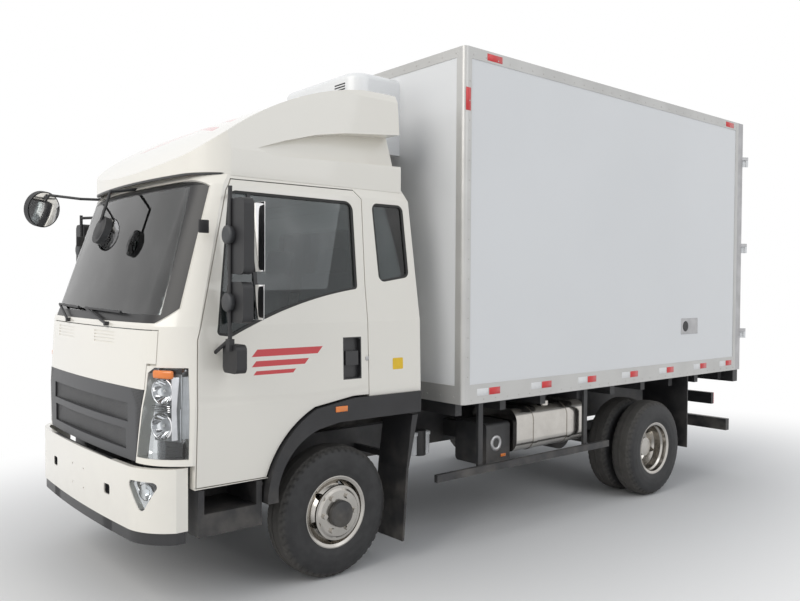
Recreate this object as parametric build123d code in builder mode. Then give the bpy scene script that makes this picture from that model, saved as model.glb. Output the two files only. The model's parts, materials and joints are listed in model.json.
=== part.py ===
from build123d import *
import os
from collections import namedtuple

# Refrigerated truck: forward-control cab, rigid insulated body, twin rear tyres.
# Millimetres. Front towards -Y, the truck's left side towards +X, ground at Z = 0.
# Everything is drawn with Y = 0 at the front axle and moved to the truck's middle when saved.

# Overall
overall_length = 5995
front_overhang = 1240
wheelbase = 3260
seat_gap = 0.3
running_gap = 0.05
swing_gap = 6
overrun = 400

# Wheels
tyre_radius = 403
tyre_width = 206
tyre_crown_width = 164
tyre_shoulder_drop = 22
rim_seat_radius = 203
rim_flange_radius = 220
rim_half_width = 87
rim_lip = 7
rim_wall = 6
rim_well_radius = 186
rim_well_half = 30
disc_offset = 120
disc_thickness = 12
disc_flat_radius = 138
hub_bore_radius = 82
nut_circle_radius = 111.125
nut_count = 6
nut_radius = 16
nut_height = 16
hand_hole_count = 6
hand_hole_start = 18
hand_hole_radius = 22
hand_hole_circle = 164
front_tyre_x = 835
rear_disc_x = 885
drum_radius = 165
drum_depth = 170
hub_nose = 26
rear_hub_nose = 104
hub_radius = 78
spindle_radius = 30
spindle_depth = 130
kingpin_x = 685
kingpin_radius = 18
kingpin_boss_radius = 40
axle_eye_height = 80
knuckle_ear = 36

# Chassis
rail_centre_x = 385
rail_height = 200
rail_flange = 70
rail_wall = 7
rail_bottom = 590
rail_front_y = -1150
rail_rear_setback = 115
horn_height = 110
horn_rear_y = -994
tilt_axis_y = -1030
tilt_axis_z = 915
tilt_pin_radius = 20
tilt_bracket_width = 36
tilt_bracket_half_depth = 30
tilt_plate_gap = 15
tilt_plate_width = 25

# Load space
box_front_y = 880
box_width = 2250
box_bottom = 995
box_top = 3355
box_wall = 80
box_floor_thickness = 115
trim_sheet = 4
corner_round = 26
post_face_width = 78
post_side_width = 64
lower_rail_height = 130
upper_rail_height = 76
rear_frame_depth = 90
rear_post_width = 104
rear_sill_height = 125
rear_header_height = 112
door_face_setback = 65
hinge_axis_setback = 14
hinge_overhang = 15
hinge_barrel_radius = 14
hinge_height = 60

# Cab
cab_setback = 42
cab_rear_y = 620
cab_low = 700
cab_top = 2440
cab_half_width = 997
cab_wall = 55
door_gap = 6
panel_gap = 5
glass_thickness = 6
glass_inset = 12
grille_depth = 30

# Places that follow from the sizes above
rear_end_y = overall_length - front_overhang
centring_y = front_overhang - overall_length / 2
rail_rear_y = rear_end_y - rail_rear_setback
rail_outer_x = rail_centre_x + rail_flange / 2
rail_inner_x = rail_centre_x - rail_flange / 2
rail_top = rail_bottom + rail_height
horn_top = rail_bottom + horn_height
tilt_plate_x = rail_outer_x + tilt_plate_gap
cab_front_y = cab_setback - front_overhang
cab_length = cab_rear_y - cab_front_y
cab_height = cab_top - cab_low
cut_half = cab_half_width + overrun
cut_front_y = cab_front_y - overrun
half_width = box_width / 2

os.makedirs("parts", exist_ok=True)


def save(part, label):
    """Move one finished piece to the truck's middle and write it."""
    placed = part.moved(Location((0, centring_y, 0)))
    placed.label = label
    export_step(placed, f"parts/{label}.step")


def prism(plane, points, depth, corner=0, grow=0):
    """A straight-sided block with the given outline, its corners rounded, grown all round."""
    with BuildPart() as block:
        with BuildSketch(plane) as outline:
            with BuildLine():
                Polyline(*points, close=True)
            make_face()
            if corner:
                fillet(outline.vertices(), radius=corner)
            if grow:
                offset(amount=grow, kind=Kind.INTERSECTION)
        extrude(amount=depth)
    return block.part


def slab(low, high):
    """A plain block between two corners."""
    with BuildPart() as block:
        with Locations(tuple((p + q) / 2 for p, q in zip(low, high))):
            Box(*[abs(q - p) for p, q in zip(low, high)])
    return block.part


def rod(start, end, radius):
    """A round bar between two points."""
    path = Vector(*end) - Vector(*start)
    with BuildPart() as bar:
        with BuildSketch(Plane(origin=start, z_dir=path)):
            Circle(radius)
        extrude(amount=path.length)
    return bar.part


def both_sides(part):
    """The piece and its mirror image across the truck's middle."""
    return part + mirror(part, about=Plane.YZ)


def side_points(shares):
    """Points of a side view, from shares of the cab's length and height."""
    return [(cab_front_y + along * cab_length, cab_low + rise * cab_height) for along, rise in shares]


def front_points(shares):
    """Points of a front view, from shares of the cab's half width and height."""
    return [(across * cab_half_width, cab_low + rise * cab_height) for across, rise in shares]


def arch_points(shares):
    """Points of a side view about the front axle, from shares of the tyre's radius."""
    return [(along * tyre_radius, (1 + rise) * tyre_radius) for along, rise in shares]


# Tyres and rims
sidewall_shares = ((0.955, 0.22), (1.0, 0.5), (0.965, 0.78))


def tyre_solid(centre_x, axle_y):
    """One tyre: half of its section mirrored about its middle and revolved about the axle line."""
    seat = rim_half_width - 2 * rim_lip
    bead = rim_flange_radius + seat_gap
    base = rim_seat_radius + seat_gap
    shoulder = tyre_radius - tyre_shoulder_drop
    side = [(seat, base), (seat, bead), (rim_half_width, bead)]
    side += [(wide * tyre_width / 2, bead + rise * (shoulder - bead)) for wide, rise in sidewall_shares]
    side += [(tyre_crown_width / 2, shoulder), (tyre_crown_width / 3, tyre_radius)]
    section = side + [(-across, radius) for across, radius in reversed(side)]
    with BuildPart() as tyre:
        with BuildSketch(Plane.XY.offset(tyre_radius)):
            with BuildLine():
                Polyline(*[(centre_x + across, axle_y + radius) for across, radius in section], close=True)
            make_face()
        revolve(axis=Axis((0, axle_y, tyre_radius), (1, 0, 0)))
    return tyre.part


def rim_solid(centre_x, outward, axle_y, nut_rise):
    """One wheel rim with its disc on the outward side (+1 or -1) of the tyre's centre plane."""
    section = (
        (-rim_half_width, rim_flange_radius),
        (rim_lip - rim_half_width, rim_flange_radius),
        (2 * rim_lip - rim_half_width, rim_seat_radius),
        (-rim_well_half - 2 * rim_lip, rim_seat_radius),
        (-rim_well_half, rim_well_radius + rim_wall),
        (rim_well_half, rim_well_radius + rim_wall),
        (rim_well_half + 2 * rim_lip, rim_seat_radius),
        (rim_half_width - 2 * rim_lip, rim_seat_radius),
        (rim_half_width - rim_lip, rim_flange_radius),
        (rim_half_width, rim_flange_radius),
        (rim_half_width, rim_flange_radius - rim_wall),
        (rim_half_width - rim_lip, rim_seat_radius - rim_wall),
        (rim_well_half + 3 * rim_lip, rim_seat_radius - rim_wall),
        (disc_offset - 2 * disc_thickness, hand_hole_circle),
        (disc_offset, disc_flat_radius),
        (disc_offset, hub_bore_radius),
        (disc_offset - disc_thickness, hub_bore_radius),
        (disc_offset - disc_thickness, disc_flat_radius - rim_wall),
        (disc_offset - 3 * disc_thickness, hand_hole_circle - rim_wall),
        (rim_well_half, rim_well_radius),
        (-rim_well_half, rim_well_radius),
        (-rim_well_half - 2 * rim_lip, rim_seat_radius - rim_wall),
        (rim_lip - rim_half_width, rim_seat_radius - rim_wall),
        (-rim_half_width, rim_flange_radius - rim_wall),
    )
    with BuildPart() as rim:
        with BuildSketch(Plane.XY.offset(tyre_radius)):
            with BuildLine():
                Polyline(*[(centre_x + outward * a, axle_y + r) for a, r in section], close=True)
            make_face()
        revolve(axis=Axis((0, axle_y, tyre_radius), (1, 0, 0)))
        hole_plane = Plane(origin=(centre_x, axle_y, tyre_radius), x_dir=(0, 1, 0), z_dir=(outward, 0, 0))
        with BuildSketch(hole_plane):
            with PolarLocations(hand_hole_circle, hand_hole_count, start_angle=hand_hole_start):
                Circle(hand_hole_radius)
        extrude(amount=disc_offset, mode=Mode.SUBTRACT)
        if nut_rise:
            with BuildSketch(hole_plane.offset(disc_offset - (disc_thickness if nut_rise < 0 else 0))):
                with PolarLocations(nut_circle_radius, nut_count):
                    RegularPolygon(nut_radius, 6)
            extrude(amount=nut_rise)
    return rim.part


def hub_solid(centre_x, outward, axle_y, nose):
    """Hub and brake drum behind one disc, bored for the spindle."""
    plane = Plane(origin=(centre_x, axle_y, tyre_radius), x_dir=(0, 1, 0), z_dir=(outward, 0, 0))
    face = disc_offset - disc_thickness
    with BuildPart() as hub:
        with BuildSketch(plane.offset(face - drum_depth)):
            Circle(drum_radius)
        extrude(amount=drum_depth)
        with BuildSketch(plane.offset(face)):
            Circle(hub_radius)
        extrude(amount=nose)
        with BuildSketch(plane.offset(face - drum_depth)):
            Circle(spindle_radius + running_gap)
        extrude(amount=spindle_depth, mode=Mode.SUBTRACT)
    return hub.part


rear_outer_x = rear_disc_x + disc_offset
rear_inner_x = rear_disc_x - disc_offset
for side_name, side in (("left", 1), ("right", -1)):
    front_rim = rim_solid(side * front_tyre_x, side, 0, nut_height)
    front_hub = hub_solid(side * front_tyre_x, side, 0, disc_thickness + hub_nose)
    save(tyre_solid(side * front_tyre_x, 0), f"tyre_front_{side_name}")
    save(front_rim + front_hub, f"rim_front_{side_name}")
    outer_rim = rim_solid(side * rear_outer_x, -side, wheelbase, -nut_height)
    inner_rim = rim_solid(side * rear_inner_x, side, wheelbase, 0)
    rear_hub = hub_solid(side * rear_inner_x, side, wheelbase, 2 * disc_thickness + rear_hub_nose)
    save(tyre_solid(side * rear_outer_x, wheelbase), f"tyre_rear_outer_{side_name}")
    save(tyre_solid(side * rear_inner_x, wheelbase), f"tyre_rear_inner_{side_name}")
    save(outer_rim + inner_rim + rear_hub, f"rims_rear_{side_name}")

# Axles and knuckles: an I-beam dropped between its ends, with an eye for each kingpin
beam_depth = 80
pad_depth = 64
beam_drop = 45
beam_height = 66
beam_web = 22
beam_flange = 16
pad_length = 150
pad_lap = 20
arm_reach = 190
arm_rear_width = 35
arm_front_width = 60
arm_lean = 45
eye_low = tyre_radius - axle_eye_height / 2
eye_high = tyre_radius + axle_eye_height / 2
ear_low = eye_low - knuckle_ear
beam_low = eye_low - beam_drop
beam_half = kingpin_x - pad_length + pad_lap
drum_inner_x = front_tyre_x + disc_offset - disc_thickness - drum_depth
steering_arm = (
    (kingpin_x - arm_front_width / 2, 0),
    (kingpin_x - arm_front_width / 2 - arm_lean, arm_reach),
    (kingpin_x - arm_front_width / 2 - arm_lean + arm_rear_width, arm_reach),
    (kingpin_x + arm_front_width / 2, 0),
)


def knuckle_solid(side):
    """Steering knuckle: kingpin with two ears, a block, the wheel spindle and the steering arm."""
    block_x = kingpin_x + kingpin_boss_radius
    whole_height = eye_high + knuckle_ear - ear_low
    with BuildPart() as knuckle:
        for low in (ear_low, eye_high):
            with BuildSketch(Plane.XY.offset(low)):
                with Locations((kingpin_x, 0)):
                    Circle(kingpin_boss_radius)
                with Locations((kingpin_x + kingpin_boss_radius, 0)):
                    Rectangle(kingpin_boss_radius, 2 * kingpin_boss_radius)
            extrude(amount=knuckle_ear)
        with BuildSketch(Plane.XY.offset(ear_low)):
            with Locations((kingpin_x, 0)):
                Circle(kingpin_radius)
        extrude(amount=whole_height)
        with BuildSketch(Plane.YZ.offset(block_x)):
            with Locations((0, tyre_radius)):
                Rectangle(2 * kingpin_boss_radius, whole_height)
        extrude(amount=drum_inner_x - swing_gap / 2 - block_x)
        with BuildSketch(Plane.YZ.offset(block_x)):
            with Locations((0, tyre_radius)):
                Circle(spindle_radius)
        extrude(amount=drum_inner_x + spindle_depth - swing_gap - block_x)
        add(prism(Plane.XY.offset(ear_low), steering_arm, knuckle_ear / 2))
    return knuckle.part if side > 0 else mirror(knuckle.part, about=Plane.YZ)


with BuildPart() as front_axle:
    with BuildSketch(Plane.YZ.offset(-beam_half)):
        with Locations((0, beam_low + beam_height / 2)):
            Rectangle(beam_web, beam_height)
            with Locations((0, (beam_height - beam_flange) / 2), (0, (beam_flange - beam_height) / 2)):
                Rectangle(beam_depth, beam_flange)
    extrude(amount=2 * beam_half)
    with BuildSketch(Plane.XY.offset(eye_low)):
        for side in (-1, 1):
            with Locations((side * kingpin_x, 0)):
                Circle(kingpin_boss_radius)
            with Locations((side * (kingpin_x - pad_length / 2), 0)):
                Rectangle(pad_length, pad_depth)
    extrude(amount=axle_eye_height)
    with BuildSketch(Plane.XY.offset(eye_low)):
        with Locations((-kingpin_x, 0), (kingpin_x, 0)):
            Circle(kingpin_radius + running_gap)
    extrude(amount=axle_eye_height, mode=Mode.SUBTRACT)
save(front_axle.part, "front_axle")
save(knuckle_solid(1), "knuckle_left")
save(knuckle_solid(-1), "knuckle_right")

# Springs: bent leaves, each shorter than the one above, between two hangers under the rail
axle_tube_radius = 62
spring_seat_height = 4
spring_seat_length = 99
leaf_thickness = 13
leaf_width = 66
leaf_step = 450
front_spring_rise = 110
rear_spring_rise = 27.5
hanger_depth = 70
Spring = namedtuple("Spring", "axle_y base half_length leaves rise")
springs = (
    Spring(0, beam_low + beam_height, 620, 3, front_spring_rise),
    Spring(wheelbase, tyre_radius + axle_tube_radius + spring_seat_height, 690, 5, rear_spring_rise),
)
with BuildPart() as leaf_springs:
    for spring in springs:
        top_leaf = spring.base + (spring.leaves - 1) * leaf_thickness
        for number in range(spring.leaves):
            reach = spring.half_length - number * leaf_step / spring.leaves
            low = top_leaf - number * leaf_thickness
            end_low = low + spring.rise * (reach / spring.half_length) ** 2
            front = spring.axle_y - reach
            rear = spring.axle_y + reach
            with BuildSketch(Plane.YZ.offset(rail_centre_x - leaf_width / 2)):
                with BuildLine():
                    ThreePointArc((front, end_low), (spring.axle_y, low), (rear, end_low))
                    Line((rear, end_low), (rear, end_low + leaf_thickness))
                    ThreePointArc(
                        (rear, end_low + leaf_thickness),
                        (spring.axle_y, low + leaf_thickness),
                        (front, end_low + leaf_thickness),
                    )
                    Line((front, end_low + leaf_thickness), (front, end_low))
                make_face()
            extrude(amount=leaf_width)
        hanger_low = top_leaf + spring.rise - leaf_thickness
        for end in (-1, 1):
            hanger_y = spring.axle_y + end * (spring.half_length - hanger_depth / 2)
            with Locations((rail_centre_x, hanger_y, (hanger_low + rail_bottom) / 2)):
                Box(leaf_width, hanger_depth, rail_bottom - hanger_low)
    mirror(about=Plane.YZ)
save(leaf_springs.part, "leaf_springs")

# Rear axle with its differential and the drive shaft from the gearbox
diff_radius = 165
diff_width = 190
nose_radius = 75
nose_length = 300
shaft_radius = 42
yoke_length = 60
yoke_radius = 50
shaft_rear_rise = 20
gearbox_rear_y = 980
gearbox_axis_z = 640
yoke_front = (0, gearbox_rear_y + seat_gap, gearbox_axis_z)
shaft_front = (0, gearbox_rear_y + yoke_length, gearbox_axis_z)
shaft_rear = (0, wheelbase - nose_length, tyre_radius + shaft_rear_rise)
rear_drum_x = rear_inner_x + disc_offset - disc_thickness - drum_depth
with BuildPart() as rear_axle:
    tube_end = rear_drum_x - swing_gap
    add(rod((-tube_end, wheelbase, tyre_radius), (tube_end, wheelbase, tyre_radius), axle_tube_radius))
    spindle_end = rear_drum_x + spindle_depth - swing_gap
    add(rod((-spindle_end, wheelbase, tyre_radius), (spindle_end, wheelbase, tyre_radius), spindle_radius))
    add(rod((-diff_width / 2, wheelbase, tyre_radius), (diff_width / 2, wheelbase, tyre_radius), diff_radius))
    for side in (-1, 1):
        seat_height = axle_tube_radius + spring_seat_height
        with Locations((side * rail_centre_x, wheelbase, tyre_radius + seat_height / 2)):
            Box(leaf_width, spring_seat_length, seat_height)
    add(rod(shaft_rear, (0, wheelbase, tyre_radius), nose_radius))
    add(rod(yoke_front, shaft_front, yoke_radius))
    add(rod(shaft_front, shaft_rear, shaft_radius))
save(rear_axle.part, "rear_axle")


# Frame
def rail_solid(side):
    """One C-section frame rail with its lower front horn."""
    with BuildPart() as rail:
        for start_y, end_y, height in (
            (horn_rear_y, rail_rear_y, rail_height),
            (rail_front_y, horn_rear_y, horn_height),
        ):
            with BuildSketch(Plane.XZ.offset(-start_y)):
                with Locations((rail_centre_x, rail_bottom + height / 2)):
                    Rectangle(rail_flange, height)
                with Locations((rail_centre_x - rail_wall / 2, rail_bottom + height / 2)):
                    Rectangle(rail_flange - rail_wall, height - 2 * rail_wall, mode=Mode.SUBTRACT)
            extrude(amount=start_y - end_y)
    return rail.part if side > 0 else mirror(rail.part, about=Plane.YZ)


save(rail_solid(1), "frame_rail_left")
save(rail_solid(-1), "frame_rail_right")

# Tilt brackets on the horns, each with the pin that the cab turns on
pin_end_x = tilt_plate_x + tilt_plate_width
with BuildPart() as tilt_brackets:
    bracket_inner_x = rail_centre_x - tilt_bracket_width / 2
    bracket_outer_x = rail_centre_x + tilt_bracket_width / 2
    bracket_rear_y = tilt_axis_y + tilt_bracket_half_depth
    for side in (-1, 1):
        add(slab(
            (side * bracket_inner_x, tilt_axis_y - tilt_bracket_half_depth, horn_top),
            (side * bracket_outer_x, bracket_rear_y, tilt_axis_z + tilt_bracket_half_depth),
        ))
        pin_start = (side * rail_centre_x, tilt_axis_y, tilt_axis_z)
        add(rod(pin_start, (side * pin_end_x, tilt_axis_y, tilt_axis_z), tilt_pin_radius))
save(tilt_brackets.part, "tilt_brackets")

horn_member_setback = 45
member_height = 70
member_depth = 70
member_shares = (0.372, 0.537, 0.670, 0.846, 0.986)
member_half = rail_outer_x - rail_wall - seat_gap
member_height_share = 0.76
member_z = rail_bottom + member_height_share * rail_height
with BuildPart() as cross_members:
    with Locations((0, rail_front_y + horn_member_setback, rail_bottom + horn_height / 2)):
        Box(2 * member_half, member_depth, member_height)
    for share in member_shares:
        with Locations((0, horn_rear_y + share * (rail_rear_y - horn_rear_y), member_z)):
            Box(2 * member_half, member_depth, member_height)
save(cross_members.part, "cross_members")

engine_half = 260
engine_front_y = -800
engine_rear_y = 480
engine_low = 480
engine_top = 965
gearbox_half = 170
gearbox_low = 500
gearbox_top = 790
engine_mount_ys = (-560, 300)
engine_mount_depth = 80
engine_mount_low = 640
engine_mount_top = 720
with BuildPart() as engine_block:
    add(slab((-engine_half, engine_front_y, engine_low), (engine_half, engine_rear_y, engine_top)))
    add(slab((-gearbox_half, engine_rear_y, gearbox_low), (gearbox_half, gearbox_rear_y, gearbox_top)))
    for mount_y in engine_mount_ys:
        front = mount_y - engine_mount_depth / 2
        rear = front + engine_mount_depth
        add(slab((-member_half, front, engine_mount_low), (member_half, rear, engine_mount_top)))
save(engine_block.part, "engine_block")

# Tanks and boxes, placed by shares of the side bay between the front and the rear wheel
bay_front_y = 700
bay_rear_gap = 247
bay_rear_y = wheelbase - tyre_radius - bay_rear_gap


def bay_y(share):
    """A place along the side bay."""
    return bay_front_y + share * (bay_rear_y - bay_front_y)


tank_low = 562
tank_top = 884
tank_inner_x = 560
tank_outer_x = 1000
tank_corner = 95
tank_end_shares = (0.455, 0.885)
tank_arm_shares = (0.565, 0.775)
tank_arm_depth = 60
tank_arm_height = 150
strap_depth = 46
strap_rise = 5
cap_radius = 42
cap_rise = 26
tank_middle = ((tank_inner_x + tank_outer_x) / 2, (tank_low + tank_top) / 2)
tank_front_y, tank_rear_y = [bay_y(share) for share in tank_end_shares]
with BuildPart() as fuel_tank:
    with BuildSketch(Plane.XZ.offset(-tank_front_y)):
        with Locations(tank_middle):
            RectangleRounded(tank_outer_x - tank_inner_x, tank_top - tank_low, tank_corner)
    extrude(amount=tank_front_y - tank_rear_y)
    for arm_y in [bay_y(share) for share in tank_arm_shares]:
        with BuildSketch(Plane.XZ.offset(strap_depth / 2 - arm_y)):
            with Locations(tank_middle):
                RectangleRounded(
                    tank_outer_x - tank_inner_x + 2 * strap_rise,
                    tank_top - tank_low + 2 * strap_rise,
                    tank_corner + strap_rise,
                )
        extrude(amount=-strap_depth)
        with Locations(((rail_outer_x + tank_inner_x) / 2, arm_y, tank_middle[1])):
            Box(tank_inner_x - rail_outer_x, tank_arm_depth, tank_arm_height)
    cap_y = (tank_front_y + tank_rear_y) / 2
    add(rod((tank_outer_x - tank_corner, cap_y, tank_top - cap_rise),
            (tank_outer_x - tank_corner, cap_y, tank_top + cap_rise), cap_radius))
save(fuel_tank.part, "fuel_tank")

# Boxes beside the rails: battery box on the left, tool box on the right, each on its arm
SideBox = namedtuple("SideBox", "side low_x high_x front_share rear_share low_z high_z corner")
side_boxes = (
    SideBox(1, 640, 950, 0.314, 0.445, 500, 800, 30),
    SideBox(-1, 600, 1000, 0.262, 0.555, 510, 820, 20),
)
box_arm_low = 640
box_arm_top = 760
box_arm_share = 0.04
bowl_x = 560
bowl_low = 560
bowl_top = 740
bowl_radius = 55
bowl_arm_height = 50
bowl_arm_share = 0.157
air_tank_x = 720
air_tank_z = 660
air_tank_radius = 115
air_tank_shares = (0.67, 1.05)
air_arm_depth = 60
air_arm_drop = 20
with BuildPart() as chassis_boxes:
    for row in side_boxes:
        front = bay_y(row.front_share)
        rear = bay_y(row.rear_share)
        with BuildSketch(Plane.XZ.offset(-front)):
            with Locations((row.side * (row.low_x + row.high_x) / 2, (row.low_z + row.high_z) / 2)):
                RectangleRounded(row.high_x - row.low_x, row.high_z - row.low_z, row.corner)
        extrude(amount=front - rear)
        arm_front = bay_y((row.front_share + row.rear_share) / 2 - box_arm_share / 2)
        arm_rear = bay_y((row.front_share + row.rear_share) / 2 + box_arm_share / 2)
        arm_end = row.low_x + row.corner
        arm_start = row.side * rail_outer_x
        add(slab((arm_start, arm_front, box_arm_low), (row.side * arm_end, arm_rear, box_arm_top)))
    bowl_y = bay_y(bowl_arm_share)
    add(rod((bowl_x, bowl_y, bowl_low), (bowl_x, bowl_y, bowl_top), bowl_radius))
    add(slab(
        (rail_outer_x, bowl_y - bowl_radius / 2, bowl_top - bowl_arm_height),
        (bowl_x, bowl_y + bowl_radius / 2, bowl_top),
    ))
    air_front_y, air_rear_y = [bay_y(share) for share in air_tank_shares]
    air_arm_y = air_front_y + air_arm_depth
    add(rod((-air_tank_x, air_front_y, air_tank_z), (-air_tank_x, air_rear_y, air_tank_z), air_tank_radius))
    add(slab(
        (-air_tank_x, air_arm_y, air_tank_z - air_arm_drop),
        (-rail_outer_x, air_arm_y + air_arm_depth, air_tank_z + air_arm_depth),
    ))
save(chassis_boxes.part, "chassis_boxes")

# Guards, tail lamps and mudguards
guard_x = 1062
guard_low = 500
guard_height = 50
guard_width = 28
guard_post_depth = 44
guard_post_width = 20
guard_post_shares = (0.228, 0.853)
with BuildPart() as side_guards:
    for side in (-1, 1):
        with Locations((side * guard_x, (bay_front_y + bay_rear_y) / 2, guard_low + guard_height / 2)):
            Box(guard_width, bay_rear_y - bay_front_y, guard_height)
        for post_y in [bay_y(share) for share in guard_post_shares]:
            post_x = side * (guard_x - guard_width / 2 - guard_post_width / 2)
            with Locations((post_x, post_y, (guard_low + box_bottom) / 2)):
                Box(guard_post_width, guard_post_depth, box_bottom - guard_low)
save(side_guards.part, "side_guards")

underrun_half = 1050
underrun_low = 400
underrun_height = 110
underrun_depth = 60
underrun_setback = 105
hanger_plate_depth = 50
with BuildPart() as underrun_bar:
    bar_rear_y = rear_end_y - underrun_setback
    bar_front_y = bar_rear_y - underrun_depth
    bar_top = underrun_low + underrun_height
    plate_rear_y = rail_rear_y + hanger_plate_depth
    add(slab((-underrun_half, bar_front_y, underrun_low), (underrun_half, bar_rear_y, bar_top)))
    for side in (-1, 1):
        inner = side * rail_inner_x
        outer = side * rail_outer_x
        add(slab((inner, rail_rear_y, underrun_low), (outer, plate_rear_y, rail_bottom + rail_height / 2)))
        add(slab((inner, bar_front_y, underrun_low), (outer, plate_rear_y, bar_top)))
save(underrun_bar.part, "underrun_bar")

tail_lamp_outer_x = 900
tail_lamp_low = 640
tail_lamp_height = 110
tail_lamp_depth = 50
with BuildPart() as tail_lamps:
    for side in (-1, 1):
        add(slab(
            (side * (rail_outer_x + seat_gap), rail_rear_y - tail_lamp_depth, tail_lamp_low),
            (side * tail_lamp_outer_x, rail_rear_y, tail_lamp_low + tail_lamp_height),
        ))
save(tail_lamps.part, "tail_lamps")

rear_flap_setback = 495
rear_flap_inner_x = 662
rear_flap_outer_x = 1108
rear_flap_low = 350
flap_sheet = 12
front_flap_inner_x = 700
front_flap_outer_x = 985
front_flap_shares = (
    (1.191, -0.653),
    (1.231, -0.653),
    (1.315, 0.489),
    (1.514, 1.352),
    (1.39, 1.352),
    (1.27, 0.489),
)
flap_arm_low = 640
flap_arm_height = 40
flap_arm_depth = 25
flap_arm_lap = 5
flap_arm_y = 520
with BuildPart() as mudguards:
    for side in (-1, 1):
        low_x = min(side * front_flap_inner_x, side * front_flap_outer_x)
        flap_width = front_flap_outer_x - front_flap_inner_x
        add(prism(Plane.YZ.offset(low_x), arch_points(front_flap_shares), flap_width))
        arm_end = side * (front_flap_inner_x + flap_arm_lap)
        arm_rear_y = flap_arm_y + flap_arm_depth
        add(slab(
            (side * rail_outer_x, flap_arm_y, flap_arm_low),
            (arm_end, arm_rear_y, flap_arm_low + flap_arm_height),
        ))
        rear_flap_y = wheelbase + rear_flap_setback
        add(slab(
            (side * rear_flap_inner_x, rear_flap_y, rear_flap_low),
            (side * rear_flap_outer_x, rear_flap_y + flap_sheet, box_bottom),
        ))
save(mudguards.part, "mudguards")

# Steps under the doors: an open box on an arm from the rail
step_inner_x = 600
step_outer_x = 965
step_front_y = -935
step_rear_y = -548
step_low = 440
step_top = 690
step_wall = 35
tread_thickness = 120
step_arm_front_y = -800
step_arm_depth = 120
step_arm_low = 600
step_arm_height = 80
with BuildPart() as cab_steps:
    for side in (-1, 1):
        add(slab((side * step_inner_x, step_front_y, step_low), (side * step_outer_x, step_rear_y, step_top)))
        add(
            slab(
                (side * (step_inner_x + step_wall), step_front_y + step_wall, step_low + tread_thickness),
                (side * (step_outer_x + step_wall), step_rear_y - step_wall, step_top + step_wall),
            ),
            mode=Mode.SUBTRACT,
        )
        add(slab(
            (side * rail_outer_x, step_arm_front_y, step_arm_low),
            (side * step_inner_x, step_arm_front_y + step_arm_depth, step_arm_low + step_arm_height),
        ))
save(cab_steps.part, "cab_steps")

# Bumper: one bent skin open at the top, with plate holes, towing openings and lamp pockets
Outline = namedtuple("Outline", "height half_width nose_y corner_x corner_y side_y rear_y drop_share")
bow_x_share = 0.66
bow_y_share = 0.36


def plan_outline(row, inset, lowering):
    """Closed plan outline at one height: bowed front, rounded corners, straight sides."""
    half = row.half_width - inset
    corner_x = row.corner_x - inset / 2
    corner_y = row.corner_y + inset
    side_y = row.side_y + inset / 2
    rear_y = row.rear_y - inset
    mid_x = corner_x + (half - corner_x) * bow_x_share
    mid_y = corner_y + (side_y - corner_y) * bow_y_share
    with BuildSketch(Plane.XY.offset(row.height - lowering * row.drop_share)) as outline:
        with BuildLine():
            ThreePointArc((-corner_x, corner_y), (0, row.nose_y + inset), (corner_x, corner_y))
            ThreePointArc((corner_x, corner_y), (mid_x, mid_y), (half, side_y))
            Line((half, side_y), (half, rear_y))
            Line((half, rear_y), (-half, rear_y))
            Line((-half, rear_y), (-half, side_y))
            ThreePointArc((-half, side_y), (-mid_x, mid_y), (-corner_x, corner_y))
        make_face()
    return outline.sketch


bumper_half = 948
bumper_corner_x = 690
bumper_corner_setback = 24
bumper_side_setback = 190
bumper_reach = 255
bumper_low = 485
bumper_top = 820
bumper_wall = 28
valance_low = 420
valance_inset = 8
bumper_row = Outline(
    0,
    bumper_half,
    -front_overhang,
    bumper_corner_x,
    bumper_corner_setback - front_overhang,
    bumper_side_setback - front_overhang,
    bumper_reach - front_overhang,
    0,
)
bumper_void_row = bumper_row._replace(rear_y=bumper_row.rear_y + 3 * bumper_wall)


def bumper_band(inset, low, high):
    """A bent band along the bumper's front, from a given inset to its inner face."""
    with BuildPart() as band:
        with BuildSketch(Plane.XY.offset(low)):
            add(plan_outline(bumper_row, inset, 0))
            add(plan_outline(bumper_void_row, bumper_wall, 0), mode=Mode.SUBTRACT)
        extrude(amount=high - low)
    return band.part


plate_x = 97
plate_low = 583
plate_high = 697
plate_hole_radius = 6
tow_x = 446
tow_z = 648
tow_opening_width = 78
tow_opening_height = 56
tow_opening_corner = 14
bracket_setback = 34
bracket_low = 600
bracket_top = 690
bracket_foot_low = 560
bracket_foot_setback = 20
bracket_foot_depth = 20
fog_lamp_outline = ((702, 752), (905, 750), (815, 572))
fog_lamp_corner = 24
fog_lamp_inset = 5
bumper_front_plane = Plane.XZ.offset(front_overhang - bumper_reach)
bumper_cut = bumper_reach + bumper_wall
fog_lamp_hole = prism(bumper_front_plane, fog_lamp_outline, bumper_cut, corner=fog_lamp_corner)
fog_lamp_fit = prism(bumper_front_plane, fog_lamp_outline, bumper_cut, corner=fog_lamp_corner, grow=-seat_gap)
with BuildPart() as bumper:
    add(bumper_band(0, bumper_low, bumper_top))
    add(bumper_band(valance_inset, valance_low, bumper_low))
    with BuildSketch(Plane.XZ.offset(-bumper_row.corner_y)):
        with Locations(*[(x, z) for x in (-plate_x, plate_x) for z in (plate_low, plate_high)]):
            Circle(plate_hole_radius)
        with Locations((-tow_x, tow_z), (tow_x, tow_z)):
            RectangleRounded(tow_opening_width, tow_opening_height, tow_opening_corner)
    extrude(amount=2 * bumper_wall, both=True, mode=Mode.SUBTRACT)
    add(both_sides(fog_lamp_hole), mode=Mode.SUBTRACT)
    bracket_y = bracket_setback - front_overhang
    foot_y = bracket_foot_setback - front_overhang
    for side in (-1, 1):
        inner = side * rail_inner_x
        outer = side * rail_outer_x
        add(slab((inner, bracket_y, bracket_low), (outer, rail_front_y, bracket_top)))
        add(slab((inner, foot_y, bracket_foot_low), (outer, foot_y + bracket_foot_depth, bracket_low)))
save(bumper.part, "bumper")

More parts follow.
